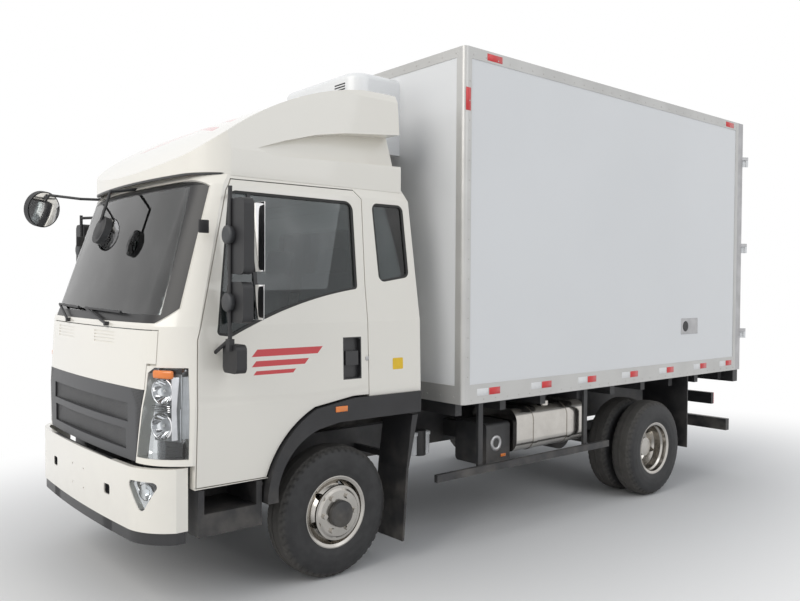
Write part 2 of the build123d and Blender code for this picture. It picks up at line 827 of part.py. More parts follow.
fog_lamp = bumper_band(fog_lamp_inset, bumper_low, bumper_top) & fog_lamp_fit
save(both_sides(fog_lamp), "fog_lamps")

# Load space: five insulated panels, the metal trim round them and the rear frame
panel_half = half_width - trim_sheet
panel_front_y = box_front_y + trim_sheet
wall_front_y = panel_front_y + box_wall
door_face_y = rear_end_y - door_face_setback
rear_frame_y = door_face_y - rear_frame_depth
roof_low = box_top - trim_sheet - box_wall
inner_half = panel_half - box_wall
long_beam_setback = 20
long_beam_rear_setback = 165
bearer_low = 905
bearer_count = 9
bearer_depth = 60
bearer_front_setback = 70
bearer_rear_setback = 235
bearer_end_gap = 105
sill_half = 1105
sill_low = 880
sill_setbacks = (155, 67)
sill_tie_setbacks = (195, 145)
with BuildPart() as box_subframe:
    beam_front_y = panel_front_y + long_beam_setback
    beam_rear_y = rear_end_y - long_beam_rear_setback
    for side in (-1, 1):
        add(slab(
            (side * rail_inner_x, beam_front_y, rail_top),
            (side * rail_outer_x, beam_rear_y, bearer_low + seat_gap),
        ))
    first_y = box_front_y + bearer_front_setback
    last_y = rear_end_y - bearer_rear_setback
    for number in range(bearer_count):
        bearer_y = first_y + number * (last_y - first_y) / (bearer_count - 1)
        with Locations((0, bearer_y, (bearer_low + box_bottom) / 2)):
            Box(2 * (panel_half - bearer_end_gap), bearer_depth, box_bottom - bearer_low)
    sill_front, sill_rear = [rear_end_y - setback for setback in sill_setbacks]
    tie_front, tie_rear = [rear_end_y - setback for setback in sill_tie_setbacks]
    add(slab((-sill_half, sill_front, sill_low), (sill_half, sill_rear, box_bottom)))
    add(slab((-rail_outer_x, tie_front, bearer_low), (rail_outer_x, tie_rear, box_bottom)))
save(box_subframe.part, "box_subframe")

floor_top = box_bottom + box_floor_thickness
save(slab((-inner_half, wall_front_y, box_bottom), (inner_half, rear_frame_y, floor_top)), "box_floor")

with BuildPart() as box_front_wall:
    add(slab((-panel_half, panel_front_y, box_bottom), (panel_half, wall_front_y, roof_low)))
    fillet(box_front_wall.edges().filter_by(Axis.Z).group_by(Axis.Y)[0], radius=corner_round)
save(box_front_wall.part, "box_front_wall")

box_side = slab((inner_half, wall_front_y, box_bottom), (panel_half, rear_frame_y, roof_low))
save(box_side, "box_side_left")
save(mirror(box_side, about=Plane.YZ), "box_side_right")

with BuildPart() as box_roof:
    add(slab((-panel_half, panel_front_y, roof_low), (panel_half, rear_frame_y, box_top - trim_sheet)))
    fillet(box_roof.edges().filter_by(Axis.Z).group_by(Axis.Y)[0], radius=corner_round)
save(box_roof.part, "box_roof")

front_rail_drop = 8
front_rail_rise = 10
front_trim_depth = 70
rear_trim_depth = 50
with BuildPart() as box_trim:
    add(slab((-half_width, box_front_y, box_bottom), (half_width, rear_frame_y, box_top)))
    fillet(box_trim.edges().filter_by(Axis.Z).group_by(Axis.Y)[0], radius=corner_round + trim_sheet)
    with BuildPart(mode=Mode.PRIVATE) as box_core:
        with Locations((0, (panel_front_y + rear_frame_y) / 2, (box_bottom + box_top) / 2 - trim_sheet)):
            Box(2 * panel_half, rear_frame_y - panel_front_y, box_top - box_bottom)
        fillet(box_core.edges().filter_by(Axis.Z).group_by(Axis.Y)[0], radius=corner_round)
    add(box_core.part, mode=Mode.SUBTRACT)
    side_low = box_bottom + lower_rail_height
    side_high = box_top - upper_rail_height
    face_half = half_width - post_face_width
    side_front = box_front_y + post_side_width
    side_rear = rear_frame_y - rear_trim_depth
    face_low = side_low - front_rail_drop
    face_high = side_high + front_rail_rise
    roof_front = box_front_y + front_trim_depth
    add(slab((-half_width, side_front, side_low), (half_width, side_rear, side_high)), mode=Mode.SUBTRACT)
    add(slab((-face_half, box_front_y, face_low), (face_half, wall_front_y, face_high)), mode=Mode.SUBTRACT)
    add(slab((-face_half, roof_front, side_high), (face_half, rear_frame_y, box_top)), mode=Mode.SUBTRACT)
save(box_trim.part, "box_trim")

opening_half = half_width - rear_post_width
sill_top = box_bottom + rear_sill_height
header_low = box_top - rear_header_height
hinge_x = half_width + hinge_overhang
hinge_y = rear_end_y - hinge_axis_setback
hinge_shares = (0.142, 0.489, 0.841)
hinge_heights = [box_bottom + share * (box_top - box_bottom) for share in hinge_shares]
lug_reach = 60
lug_bite = 8
lug_trim = 3
lug_rise = 4
hinge_clearance = 1
with BuildPart() as box_rear_frame:
    add(slab((-half_width, rear_frame_y, box_bottom), (half_width, door_face_y, box_top)))
    opening_low = (-opening_half, rear_frame_y, sill_top)
    add(slab(opening_low, (opening_half, door_face_y, header_low)), mode=Mode.SUBTRACT)
    for height in hinge_heights:
        with BuildSketch(Plane.XY.offset(height + hinge_height / 2 + hinge_clearance)):
            for side in (-1, 1):
                with Locations((side * hinge_x, hinge_y)):
                    Circle(hinge_barrel_radius)
                with BuildLine():
                    Polyline(
                        (side * (half_width - lug_reach), door_face_y),
                        (side * half_width, door_face_y - lug_bite),
                        (side * (hinge_x + hinge_barrel_radius - lug_trim), hinge_y),
                        (side * (hinge_x - hinge_barrel_radius + lug_trim), hinge_y + lug_rise),
                        close=True,
                    )
                make_face()
        extrude(amount=hinge_height / 2)
save(box_rear_frame.part, "box_rear_frame")

meeting_gap = 7
door_depth_gap = 10
hinge_strap = 10
hinge_strap_length = 220
strap_end_gap = 35
strap_lap = 5
lock_rod_radius = 13
lock_rod_stand = 8
lock_rod_xs = (330, 720)
lock_rod_end_gap = 40
lock_keeper_shares = (0.085, 0.502, 0.915)
lock_keeper_half = 30
lock_keeper_wing = 35
handle_share = 0.301
handle_length = 250
handle_height = 32
handle_lap = 10
handle_thickness = 14
with BuildPart() as cargo_door:
    add(slab(
        (meeting_gap, rear_frame_y + door_depth_gap, sill_top + swing_gap),
        (opening_half - swing_gap, door_face_y, header_low - swing_gap),
    ))
    for height in hinge_heights:
        low = height - hinge_height / 2
        strap_outer_x = hinge_x - strap_end_gap
        strap_y = door_face_y + hinge_strap
        strap_low = (hinge_x - hinge_strap_length, door_face_y, low)
        add(slab(strap_low, (strap_outer_x, strap_y, low + hinge_height)))
        with BuildSketch(Plane.XY.offset(low)):
            with BuildLine():
                Polyline(
                    (strap_outer_x - strap_lap, door_face_y + hinge_clearance),
                    (strap_outer_x - strap_lap, strap_y),
                    (hinge_x - hinge_barrel_radius + lug_trim, hinge_y + lug_rise),
                    (hinge_x + hinge_barrel_radius - lug_trim, hinge_y),
                    (hinge_x - lug_bite, hinge_y - hinge_barrel_radius + lug_rise),
                    close=True,
                )
            make_face()
            with Locations((hinge_x, hinge_y)):
                Circle(hinge_barrel_radius)
        extrude(amount=hinge_height)
    rod_y = door_face_y + lock_rod_stand + lock_rod_radius
    handle_low = box_bottom + handle_share * (box_top - box_bottom) - handle_height / 2
    for rod_x in lock_rod_xs:
        add(rod(
            (rod_x, rod_y, box_bottom + lock_rod_end_gap),
            (rod_x, rod_y, box_top - lock_rod_end_gap),
            lock_rod_radius,
        ))
        for share in lock_keeper_shares:
            keeper_z = box_bottom + share * (box_top - box_bottom)
            add(slab(
                (rod_x - lock_keeper_wing, door_face_y, keeper_z - lock_keeper_half),
                (rod_x + lock_keeper_wing, rod_y, keeper_z + lock_keeper_half),
            ))
        add(slab(
            (rod_x - handle_lap, rod_y - handle_thickness / 2, handle_low),
            (rod_x + handle_length, rod_y + handle_thickness / 2, handle_low + handle_height),
        ))
save(cargo_door.part, "cargo_door_left")
save(mirror(cargo_door.part, about=Plane.YZ), "cargo_door_right")

unit_half = 470
unit_front_y = 475
unit_low = 2715
unit_top = 3262
unit_corner = 130
unit_edge = 45
with BuildPart() as reefer_unit:
    add(slab((-unit_half, unit_front_y, unit_low), (unit_half, panel_front_y, unit_top)))
    fillet(reefer_unit.edges().filter_by(Axis.Z).group_by(Axis.Y)[0], radius=unit_corner)
    fillet(reefer_unit.faces().sort_by(Axis.Z)[-1].edges().group_by(Axis.Y)[0], radius=unit_edge)
save(reefer_unit.part, "reefer_unit")

# Cab volume at any depth under its skin, from shares of the cab's height, half width and length
CabRow = namedtuple("CabRow", "rise half nose corner_x corner side rear drop")
cab_row_shares = (
    CabRow(0, 0.978, 0, 0.707, 0.0143, 0.1227, 1, 0),
    CabRow(0.247, 1, 0, 0.707, 0.0143, 0.1265, 1, 0),
    CabRow(0.494, 0.988, 0.0088, 0.702, 0.0264, 0.143, 1, 0),
    CabRow(0.937, 0.896, 0.150, 0.692, 0.175, 0.2464, 0.9846, 0.3),
    CabRow(0.978, 0.865, 0.179, 0.662, 0.2046, 0.2739, 0.967, 0.85),
    CabRow(1, 0.802, 0.219, 0.622, 0.2442, 0.3124, 0.934, 1),
)
cab_rows = [
    Outline(
        cab_low + row.rise * cab_height,
        row.half * cab_half_width,
        cab_front_y + row.nose * cab_length,
        row.corner_x * cab_half_width,
        cab_front_y + row.corner * cab_length,
        cab_front_y + row.side * cab_length,
        cab_front_y + row.rear * cab_length,
        row.drop,
    )
    for row in cab_row_shares
]
screen_row, brow_row = cab_rows[2], cab_rows[3]


def cab_volume(inset):
    """The cab's whole outer form moved inward by an inset, open lofts between the plan outlines."""
    with BuildPart() as volume:
        for row in cab_rows:
            add(plan_outline(row, inset, inset))
        loft(ruled=True)
    return volume.part


arch_shares = ((-1.328, 0.506), (-1.022, 1.231), (-0.509, 1.635), (0.174, 1.737))
arch_foot, arch_middle, arch_shoulder, arch_crown = arch_points(arch_shares)
arch_top = arch_crown[1]
door_side_x = 600
cut_depth = cut_half - door_side_x


def arch_region(grow, depth_start, depth):
    """Everything inside the outer line of the front wheel arch, back past the cab's rear wall."""
    past_y = cab_rear_y + overrun
    with BuildPart() as region:
        with BuildSketch(Plane.YZ.offset(depth_start)):
            with BuildLine():
                Polyline((past_y, arch_top), (past_y, 0), (arch_foot[0], 0), arch_foot)
                ThreePointArc(arch_foot, arch_middle, arch_shoulder)
                Polyline(arch_shoulder, arch_crown, (past_y, arch_top))
            make_face()
            if grow:
                offset(amount=grow, kind=Kind.INTERSECTION)
        extrude(amount=depth)
    return region.part


cab_skin = cab_volume(0)
cab_core = cab_volume(cab_wall)
cab_shell_volume = cab_skin - cab_core
side_plane = Plane.YZ.offset(-cut_half)
left_plane = Plane.YZ.offset(door_side_x)
front_reach = 238
front_plane = Plane.XZ.offset(-cab_front_y - front_reach)
front_cut = front_reach + overrun / 2

door_outline = side_points((
    (0.133, 0.003), (0.133, 0.345), (0.136, 0.454), (0.253, 0.920), (0.274, 0.958),
    (0.742, 0.962), (0.773, 0.930), (0.763, 0.632), (0.768, 0),
))
window_outline = side_points((
    (0.262, 0.920), (0.198, 0.467), (0.249, 0.460), (0.507, 0.563), (0.728, 0.610), (0.732, 0.918),
))
window_top_corner = 60
window_low_corner = 24
quarter_outline = side_points(((0.814, 0.920), (0.956, 0.920), (0.963, 0.654), (0.824, 0.632)))
quarter_corner = 45
screen_outline = side_points((
    (-0.12, 0.502), (0.051, 0.503), (0.105, 0.549), (0.216, 0.930), (0.191, 0.953), (-0.12, 0.953),
))
flap_shares = ((0.794, 0.484), (0.794, 0.375), (0.788, 0.302), (0.714, 0.076))
flap_corners = front_points(flap_shares)
flap_outline = flap_corners + [(-x, z) for x, z in reversed(flap_corners)]
flap_top = flap_corners[0][1]
flap_split_z = flap_corners[2][1]
shoulder_half_share = 0.853
shoulder_half = shoulder_half_share * cab_half_width
shoulder_low = flap_corners[1][1]
shoulder_gap = 12
shoulder_thickness = 10
lamp_side_outline = side_points(((-0.12, 0.093), (0.1133, 0.0966), (0.1133, 0.3736), (-0.12, 0.3736)))
lamp_front_outline = front_points((
    (0.722, 0.076), (0.799, 0.302), (0.805, 0.354), (0.8425, 0.3713), (0.993, 0.3713), (0.993, 0.076),
))
lamp_side_x = 500
lamp_gap = 2
rear_window_outline = front_points(((-0.622, 0.586), (0.622, 0.586), (0.602, 0.851), (-0.602, 0.851)))
rear_window_corner = 60


def door_window(grow):
    """The door window's opening through the cab's side, grown all round."""
    top_front, low_front, step, middle, low_rear, top_rear = window_outline
    with BuildPart() as opening:
        with BuildSketch(left_plane) as outline:
            with BuildLine():
                Polyline(top_front, low_front, step)
                ThreePointArc(step, middle, low_rear)
                Polyline(low_rear, top_rear, top_front)
            make_face()
            fillet(outline.vertices().sort_by(Axis.Y)[-2:], radius=window_top_corner)
            fillet(outline.vertices().sort_by(Axis.Y)[:3], radius=window_low_corner)
            if grow:
                offset(amount=grow, kind=Kind.INTERSECTION)
        extrude(amount=cut_depth)
    return opening.part


def rear_window(grow):
    """The rear window's opening through the cab's rear wall, grown all round."""
    rear_plane = Plane.XZ.offset(overrun / 2 - cab_rear_y)
    return prism(rear_plane, rear_window_outline, -overrun, corner=rear_window_corner, grow=grow)


def lamp_block(grow):
    """One headlamp's place at the cab's lower front corner, grown all round."""
    side_block = prism(Plane.YZ.offset(lamp_side_x), lamp_side_outline, cut_half - lamp_side_x, grow=grow)
    return side_block & prism(front_plane, lamp_front_outline, front_cut, grow=grow)


screen_hole = prism(side_plane, screen_outline, 2 * cut_half)
flap_hole = prism(front_plane, flap_outline, front_cut)
flap_fit = prism(front_plane, flap_outline, front_cut, grow=-panel_gap)
front_reach_y = cab_front_y + front_reach
shoulder_hole = slab((-shoulder_half, cut_front_y, shoulder_low), (shoulder_half, front_reach_y, flap_top))
shoulder_fit = slab(
    (panel_gap - shoulder_half, cut_front_y, shoulder_low + shoulder_gap),
    (shoulder_half - panel_gap, front_reach_y, flap_top - panel_gap),
)
door_hole = prism(left_plane, door_outline, cut_depth)
quarter_hole = prism(left_plane, quarter_outline, cut_depth, corner=quarter_corner)
rear_low_y = 150
flap_low = flap_corners[-1][1]
with BuildPart() as cab_shell:
    add(cab_shell_volume)
    add(slab((-cut_half, cut_front_y, 0), (cut_half, front_reach_y, flap_low)), mode=Mode.SUBTRACT)
    for cut in (arch_region(0, -cut_half, 2 * cut_half), screen_hole, flap_hole, rear_window(0)):
        add(cut, mode=Mode.SUBTRACT)
    add(shoulder_hole - cab_volume(shoulder_thickness + panel_gap), mode=Mode.SUBTRACT)
    for cut in (lamp_block(0), door_hole, quarter_hole):
        add(both_sides(cut), mode=Mode.SUBTRACT)
    add(slab((-cut_half, rear_low_y, 0), (cut_half, cab_rear_y + overrun, arch_top)), mode=Mode.SUBTRACT)
save(cab_shell.part, "cab_shell")

glass_skin = cab_volume(glass_inset) - cab_volume(glass_inset + glass_thickness)
save(glass_skin & prism(side_plane, screen_outline, 2 * cut_half, grow=-seat_gap), "windscreen")
quarter_fit = prism(left_plane, quarter_outline, cut_depth, corner=quarter_corner, grow=-seat_gap)
save(both_sides(glass_skin & quarter_fit) + (glass_skin & rear_window(-seat_gap)), "fixed_glass")

# Doors, each with a handle in a recess
handle_recess_shares = ((0.660, 0.300), (0.729, 0.300), (0.729, 0.439), (0.660, 0.439))
handle_grip_shares = ((0.668, 0.345), (0.721, 0.345), (0.721, 0.394), (0.668, 0.394))
handle_recess_corner = 18
handle_recess_depth = 28
handle_grip_inset = 3
door_arch_gap = 12
handle_plate = prism(left_plane, side_points(handle_recess_shares), cut_depth, corner=handle_recess_corner)
handle_grip = prism(left_plane, side_points(handle_grip_shares), cut_depth)
with BuildPart() as door_left:
    add(cab_shell_volume)
    add(prism(left_plane, door_outline, cut_depth, grow=-door_gap), mode=Mode.INTERSECT)
    add(arch_region(door_arch_gap, door_side_x, cut_depth), mode=Mode.SUBTRACT)
    add(door_window(0), mode=Mode.SUBTRACT)
    add((cab_skin - cab_volume(handle_recess_depth)) & handle_plate, mode=Mode.SUBTRACT)
    add((cab_volume(handle_grip_inset) - cab_volume(handle_recess_depth + handle_grip_inset)) & handle_grip)
save(door_left.part, "door_left")
save(mirror(door_left.part, about=Plane.YZ), "door_right")

door_glass = glass_skin & door_window(-seat_gap)
save(door_glass, "door_glass_left")
save(mirror(door_glass, about=Plane.YZ), "door_glass_right")

# Front flap: upper panel with its louvres, and the grille below it
Louvre = namedtuple("Louvre", "low_x high_x")
louvre_groups = (Louvre(-575, -226), Louvre(130, 414))
louvre_shares = (0.4315, 0.4425, 0.4535, 0.4645)
louvre_height = 8
louvre_depth = 5
louvre_band = cab_skin - cab_volume(louvre_depth)
with BuildPart() as front_panel:
    add(cab_shell_volume)
    add(flap_fit, mode=Mode.INTERSECT)
    panel_low = flap_split_z + seat_gap / 2
    add(slab((-cut_half, cut_front_y, 0), (cut_half, front_reach_y, panel_low)), mode=Mode.SUBTRACT)
    add((cab_skin - cab_volume(shoulder_thickness)) & shoulder_fit)
    for group in louvre_groups:
        for share in louvre_shares:
            low = cab_low + share * cab_height
            groove = slab((group.low_x, cut_front_y, low), (group.high_x, front_reach_y, low + louvre_height))
            add(louvre_band & groove, mode=Mode.SUBTRACT)
save(front_panel.part, "front_panel")

GrilleOpening = namedtuple("GrilleOpening", "half_share low_share high_share")
grille_openings = (GrilleOpening(0.622, 0.195, 0.253), GrilleOpening(0.602, 0.109, 0.172))
grille_mesh_thickness = 12
grille_mesh_lap = 10
with BuildPart() as grille:
    add(cab_skin - cab_volume(grille_depth))
    add(flap_fit, mode=Mode.INTERSECT)
    grille_top = flap_split_z - seat_gap / 2
    add(slab((-cut_half, cut_front_y, grille_top), (cut_half, front_reach_y, cab_top)), mode=Mode.SUBTRACT)
    for opening in grille_openings:
        half = opening.half_share * cab_half_width
        low = cab_low + opening.low_share * cab_height
        high = cab_low + opening.high_share * cab_height
        add(slab((-half, cut_front_y, low), (half, front_reach_y, high)), mode=Mode.SUBTRACT)
    mesh_y = cab_front_y + grille_depth
    mesh_half = grille_openings[0].half_share * cab_half_width + 2 * grille_mesh_lap
    mesh_low = cab_low + grille_openings[-1].low_share * cab_height - grille_mesh_lap
    mesh_high = cab_low + grille_openings[0].high_share * cab_height + grille_mesh_lap
    add(slab((-mesh_half, mesh_y, mesh_low), (mesh_half, mesh_y + grille_mesh_thickness, mesh_high)))
save(grille.part, "grille")

save(both_sides(cab_shell_volume & lamp_block(-lamp_gap)), "headlamps")

# Cab floor, firewall and tunnel, with the plates that hang on the tilt pins
tunnel_half = tilt_plate_x + tilt_plate_width
well_low = 800
well_high = 825
platform_low = 985
platform_high = 1010
tunnel_low = 1000
tunnel_high = 1025
firewall_setback = 113
firewall_top = 1500
firewall_thickness = 25
riser_y = -475
floor_rear_setback = 55
firewall_front_y = cab_front_y + firewall_setback
firewall_rear_y = firewall_front_y + firewall_thickness
floor_rear_y = cab_rear_y - floor_rear_setback
floor_profile = (
    (firewall_front_y, well_low),
    (riser_y, well_low),
    (riser_y, platform_low),
    (floor_rear_y, platform_low),
    (floor_rear_y, platform_high),
    (riser_y - firewall_thickness, platform_high),
    (riser_y - firewall_thickness, well_high),
    (firewall_rear_y, well_high),
    (firewall_rear_y, firewall_top),
    (firewall_front_y, firewall_top),
)
with BuildPart() as cab_floor:
    add(prism(side_plane, floor_profile, 2 * cut_half))
    add(slab((-tunnel_half, cut_front_y, 0), (tunnel_half, cab_rear_y, tunnel_low)), mode=Mode.SUBTRACT)
    add(slab((-tunnel_half, firewall_front_y, tunnel_low), (tunnel_half, floor_rear_y, tunnel_high)))
    for side in (-1, 1):
        plate_end = (side * tunnel_half, riser_y, tunnel_high)
        add(slab((side * tilt_plate_x, firewall_front_y, well_low), plate_end))
    pin_start = (-cut_half, tilt_axis_y, tilt_axis_z)
    pin_end = (cut_half, tilt_axis_y, tilt_axis_z)
    add(rod(pin_start, pin_end, tilt_pin_radius + running_gap), mode=Mode.SUBTRACT)
    add(cab_volume(cab_wall + seat_gap), mode=Mode.INTERSECT)
save(cab_floor.part, "cab_floor")

# Roof fairing: plan, side and front outlines crossed, hollow underneath and at the back
fairing_low = 2386
fairing_rear_y = 548
fairing_wall = 24
fairing_row = Outline(0, 872, -935, 640, -885, -690, fairing_rear_y, 0)
fairing_nose_y = -960
fairing_brow = (-945, 2440)
fairing_middle = (-380, 2825)
fairing_crest_z = 3040
fairing_front = ((885, fairing_low), (870, 2560), (848, 2866), (838, 2975), (812, 3022), (760, 3045))
recess_outline = (
    (-555, 2518),
    (-552, 2545),
    (-328, 2621),
    (-117, 2680),
    (108, 2720),
    (600, 2769),
    (600, 2557),
)
recess_plane = Plane(origin=(776, fairing_rear_y, 2596), z_dir=(1, 0.075, 0.34))
unit_side_gap = 45
unit_front_gap = 75
notch_low = 2500


def fairing_volume(inset):
    """The fairing's outer form moved inward by an inset; any inset runs out below and behind."""
    low = fairing_low - 4 * inset
    rear_y = fairing_rear_y + 4 * inset
    with BuildPart() as plan_block:
        with BuildSketch(Plane.XY.offset(low)):
            add(plan_outline(fairing_row._replace(rear_y=rear_y), inset, 0))
        extrude(amount=fairing_crest_z - low)
    with BuildPart() as side_block:
        with BuildSketch(side_plane):
            with BuildLine():
                Line((fairing_nose_y, low), fairing_brow)
                ThreePointArc(fairing_brow, fairing_middle, (fairing_rear_y, fairing_crest_z))
                Polyline(
                    (fairing_rear_y, fairing_crest_z),
                    (rear_y + seat_gap, fairing_crest_z),
                    (rear_y + seat_gap, low),
                    (fairing_nose_y, low),
                )
            make_face()
            if inset:
                offset(amount=-inset, kind=Kind.INTERSECTION)
        extrude(amount=2 * cut_half)
    right = [(-x, z) for x, z in reversed(fairing_front)]
    outline = [(fairing_front[0][0], low), *fairing_front, *right, (-fairing_front[0][0], low)]
    if not inset:
        outline = [*fairing_front, *right]
    reach = cut_half + overrun
    front_block = prism(Plane.XZ.offset(reach), outline, -2 * reach, grow=-inset)
    return plan_block.part & side_block.part & front_block


def side_recess(grow):
    """The long hollow along the fairing's left side, deepest at the back, grown all round."""
    with BuildPart() as beyond:
        with BuildSketch(recess_plane.offset(-grow)):
            Rectangle(2 * cab_length, 2 * cab_length)
        extrude(amount=cab_half_width)
    return beyond.part & prism(left_plane, recess_outline, cut_depth, grow=grow)


fairing_void = fairing_volume(fairing_wall) - both_sides(side_recess(fairing_wall))
with BuildPart() as roof_fairing:
    add(fairing_volume(0))
    add(both_sides(side_recess(0)), mode=Mode.SUBTRACT)
    add(fairing_void, mode=Mode.SUBTRACT)
    notch_half = unit_half + unit_side_gap
    notch_y = unit_front_y - unit_front_gap
    notch_end_y = fairing_rear_y + overrun
    add(slab((-notch_half, notch_y, notch_low), (notch_half, notch_end_y, box_top)), mode=Mode.SUBTRACT)
    add(cab_volume(-seat_gap), mode=Mode.SUBTRACT)
save(roof_fairing.part, "roof_fairing")


# Black lips of the front wheel arches, with a liner reaching inboard
def spread(point, amount):
    """A point of a side view moved away from the front axle."""
    from_axle = Vector(point[0], point[1] - tyre_radius)
    moved = from_axle * (1 + amount / from_axle.length)
    return (moved.X, moved.Y + tyre_radius)


lip_inner_x = 940
lip_outer_x = 1012
lip_rear_y = 612
liner_inner_x = 500
liner_thickness = 14
liner_lap = 1
lip_foot_share = 0.39
lip_inner_shares = ((-1.161, 0.588), (-0.893, 1.084), (-0.471, 1.337), (-0.099, 1.402))
with BuildPart() as arch_lip:
    foot, middle, shoulder, crown = [spread(point, -seat_gap) for point in arch_points(arch_shares)]
    inner_low, inner_middle, inner_shoulder, inner_crown = arch_points(lip_inner_shares)
    foot_z = (1 + lip_foot_share) * tyre_radius
    with BuildSketch(Plane.YZ.offset(lip_inner_x)):
        with BuildLine():
            Polyline((lip_rear_y, crown[1]), crown, shoulder)
            ThreePointArc(shoulder, middle, foot)
            Polyline(foot, (foot[0], foot_z), (inner_low[0], foot_z), inner_low)
            ThreePointArc(inner_low, inner_middle, inner_shoulder)
            Polyline(inner_shoulder, inner_crown, (lip_rear_y, inner_crown[1]), (lip_rear_y, crown[1]))
        make_face()
    extrude(amount=lip_outer_x - lip_inner_x)
    inner_points = (inner_low, inner_middle, inner_shoulder, inner_crown)
    outer_low, outer_middle, outer_shoulder, outer_crown = [spread(p, liner_thickness) for p in inner_points]
    with BuildSketch(Plane.YZ.offset(liner_inner_x)):
        with BuildLine():
            ThreePointArc(inner_low, inner_middle, inner_shoulder)
            Polyline(inner_shoulder, inner_crown, (lip_rear_y, inner_crown[1]), (lip_rear_y, outer_crown[1]))
            Polyline((lip_rear_y, outer_crown[1]), outer_crown, outer_shoulder)
            ThreePointArc(outer_shoulder, outer_middle, outer_low)
            Line(outer_low, inner_low)
        make_face()
    extrude(amount=lip_inner_x - liner_inner_x + liner_lap)
save(both_sides(arch_lip.part), "arch_trims")

# Dashboard with the steering column and its shroud
wheel_centre = (420, -610, 1440)
column_tilt = 32
column_radius = 34
column_length = 360
column_end_gap = 28
wheel_rim_radius = 205
wheel_tube = 15
hub_disc_radius = 58
spoke_reach = 200
spoke_width = 34
spoke_thickness = 22
spoke_centre = 110
side_spoke_rise = 10
shroud_half = 55
dash_trim_gap = 12
dash_profile = (
    (firewall_rear_y, 1180),
    (-860, 1180),
    (-790, 1300),
    (-790, 1440),
    (-850, 1500),
    (firewall_rear_y, 1540),
)
shroud_profile = ((-1000, 1190), (-860, 1190), (-740, 1150), (-640, 1300), (-700, 1420), (-1000, 1420))
column_plane = Plane(origin=wheel_centre, x_dir=(1, 0, 0), z_dir=(0, 0, 1)).rotated((-column_tilt, 0, 0))
with BuildPart() as dashboard:
    add(prism(side_plane, dash_profile, 2 * cut_half))
    with BuildSketch(column_plane.offset(-column_length)):
        Circle(column_radius)
    extrude(amount=column_length - column_end_gap - seat_gap)
    add(prism(Plane.YZ.offset(wheel_centre[0] - shroud_half), shroud_profile, 2 * shroud_half))
    add(cab_volume(cab_wall + dash_trim_gap), mode=Mode.INTERSECT)
save(dashboard.part, "dashboard")

with BuildPart() as steering_wheel:
    with BuildSketch(Plane(origin=column_plane.origin, x_dir=column_plane.x_dir, z_dir=column_plane.y_dir)):
        with Locations((wheel_rim_radius, 0)):
            RegularPolygon(wheel_tube, 8)
    revolve(axis=Axis(column_plane.origin, column_plane.z_dir))
    with BuildSketch(column_plane.offset(-column_end_gap)):
        Circle(hub_disc_radius)
        with Locations((spoke_centre, side_spoke_rise), (-spoke_centre, side_spoke_rise)):
            Rectangle(spoke_reach, spoke_width)
        with Locations((0, -spoke_centre)):
            Rectangle(spoke_width, spoke_reach)
    extrude(amount=spoke_thickness)
save(steering_wheel.part, "steering_wheel")

# Seats: a single one for the driver and a double one, each on a base, with headrests
Seat = namedtuple("Seat", "centre_x width rest_offsets")
seat_rows = (Seat(480, 500, (0,)), Seat(-370, 760, (-190, 190)))
cushion_front_y = -305
cushion_rear_y = 165
cushion_low = 1105
cushion_top = 1255
base_side_gap = 40
base_front_y = -270
base_rear_y = 130
backrest_profile = ((60, cushion_top), (165, cushion_top), (305, 1860), (200, 1880))
headrest_profile = ((222, 1862), (292, 1858), (330, 2020), (262, 2036))
headrest_half = 135
bracket_half = 60
bracket_rise = 10
bracket_low_z = 1200
with BuildPart() as seats:
    for seat in seat_rows:
        low_x = seat.centre_x - seat.width / 2
        high_x = seat.centre_x + seat.width / 2
        add(slab((low_x, cushion_front_y, cushion_low), (high_x, cushion_rear_y, cushion_top)))
        add(slab(
            (low_x + base_side_gap, base_front_y, tunnel_high + seat_gap),
            (high_x - base_side_gap, base_rear_y, cushion_low + seat_gap),
        ))
        add(prism(Plane.YZ.offset(low_x), backrest_profile, seat.width))
        add(slab(
            (seat.centre_x - bracket_half, base_rear_y, bracket_low_z),
            (seat.centre_x + bracket_half, cushion_rear_y, cushion_top + bracket_rise),
        ))
        for rest_offset in seat.rest_offsets:
            rest_plane = Plane.YZ.offset(seat.centre_x + rest_offset - headrest_half)
            add(prism(rest_plane, headrest_profile, 2 * headrest_half))
save(seats.part, "seats")

# Door mirrors: two heads and a look-down head on one bar
Head = namedtuple("Head", "centre_x centre_z width height corner")
mirror_heads = (
    Head(1170, 2030, 175, 390, 35),
    Head(1165, 1690, 170, 210, 35),
    Head(1110, 1395, 150, 150, 30),
)
bar_x = 1125
bar_y = -835
bar_radius = 11
arm_radius = 10
bar_low = 1480
bar_top = 2290
upper_arm_z = 2270
lower_arm_z = 1500
upper_arm_end = (880, -700, upper_arm_z)
lower_arm_end = (960, -848, 1408)
head_seat = 6
foot_depth = 15
head_thickness = 60
foot_half = 20
foot_low = 1440
with BuildPart() as mirror_left:
    add(rod((bar_x, bar_y, bar_low), (bar_x, bar_y, bar_top), bar_radius))
    add(rod((bar_x, bar_y, upper_arm_z), upper_arm_end, arm_radius) - cab_skin)
    add(rod((bar_x, bar_y, lower_arm_z), lower_arm_end, arm_radius) - cab_skin)
    with BuildSketch(Plane.XZ.offset(-bar_y - head_seat)):
        for head in mirror_heads:
            with Locations((head.centre_x, head.centre_z)):
                RectangleRounded(head.width, head.height, head.corner)
    extrude(amount=-head_thickness)
    add(slab(
        (bar_x - foot_half, bar_y - foot_depth, foot_low),
        (bar_x + foot_half, bar_y + foot_depth, lower_arm_z),
    ))
save(mirror_left.part, "mirrors_left")
save(mirror(mirror_left.part, about=Plane.YZ), "mirrors_right")

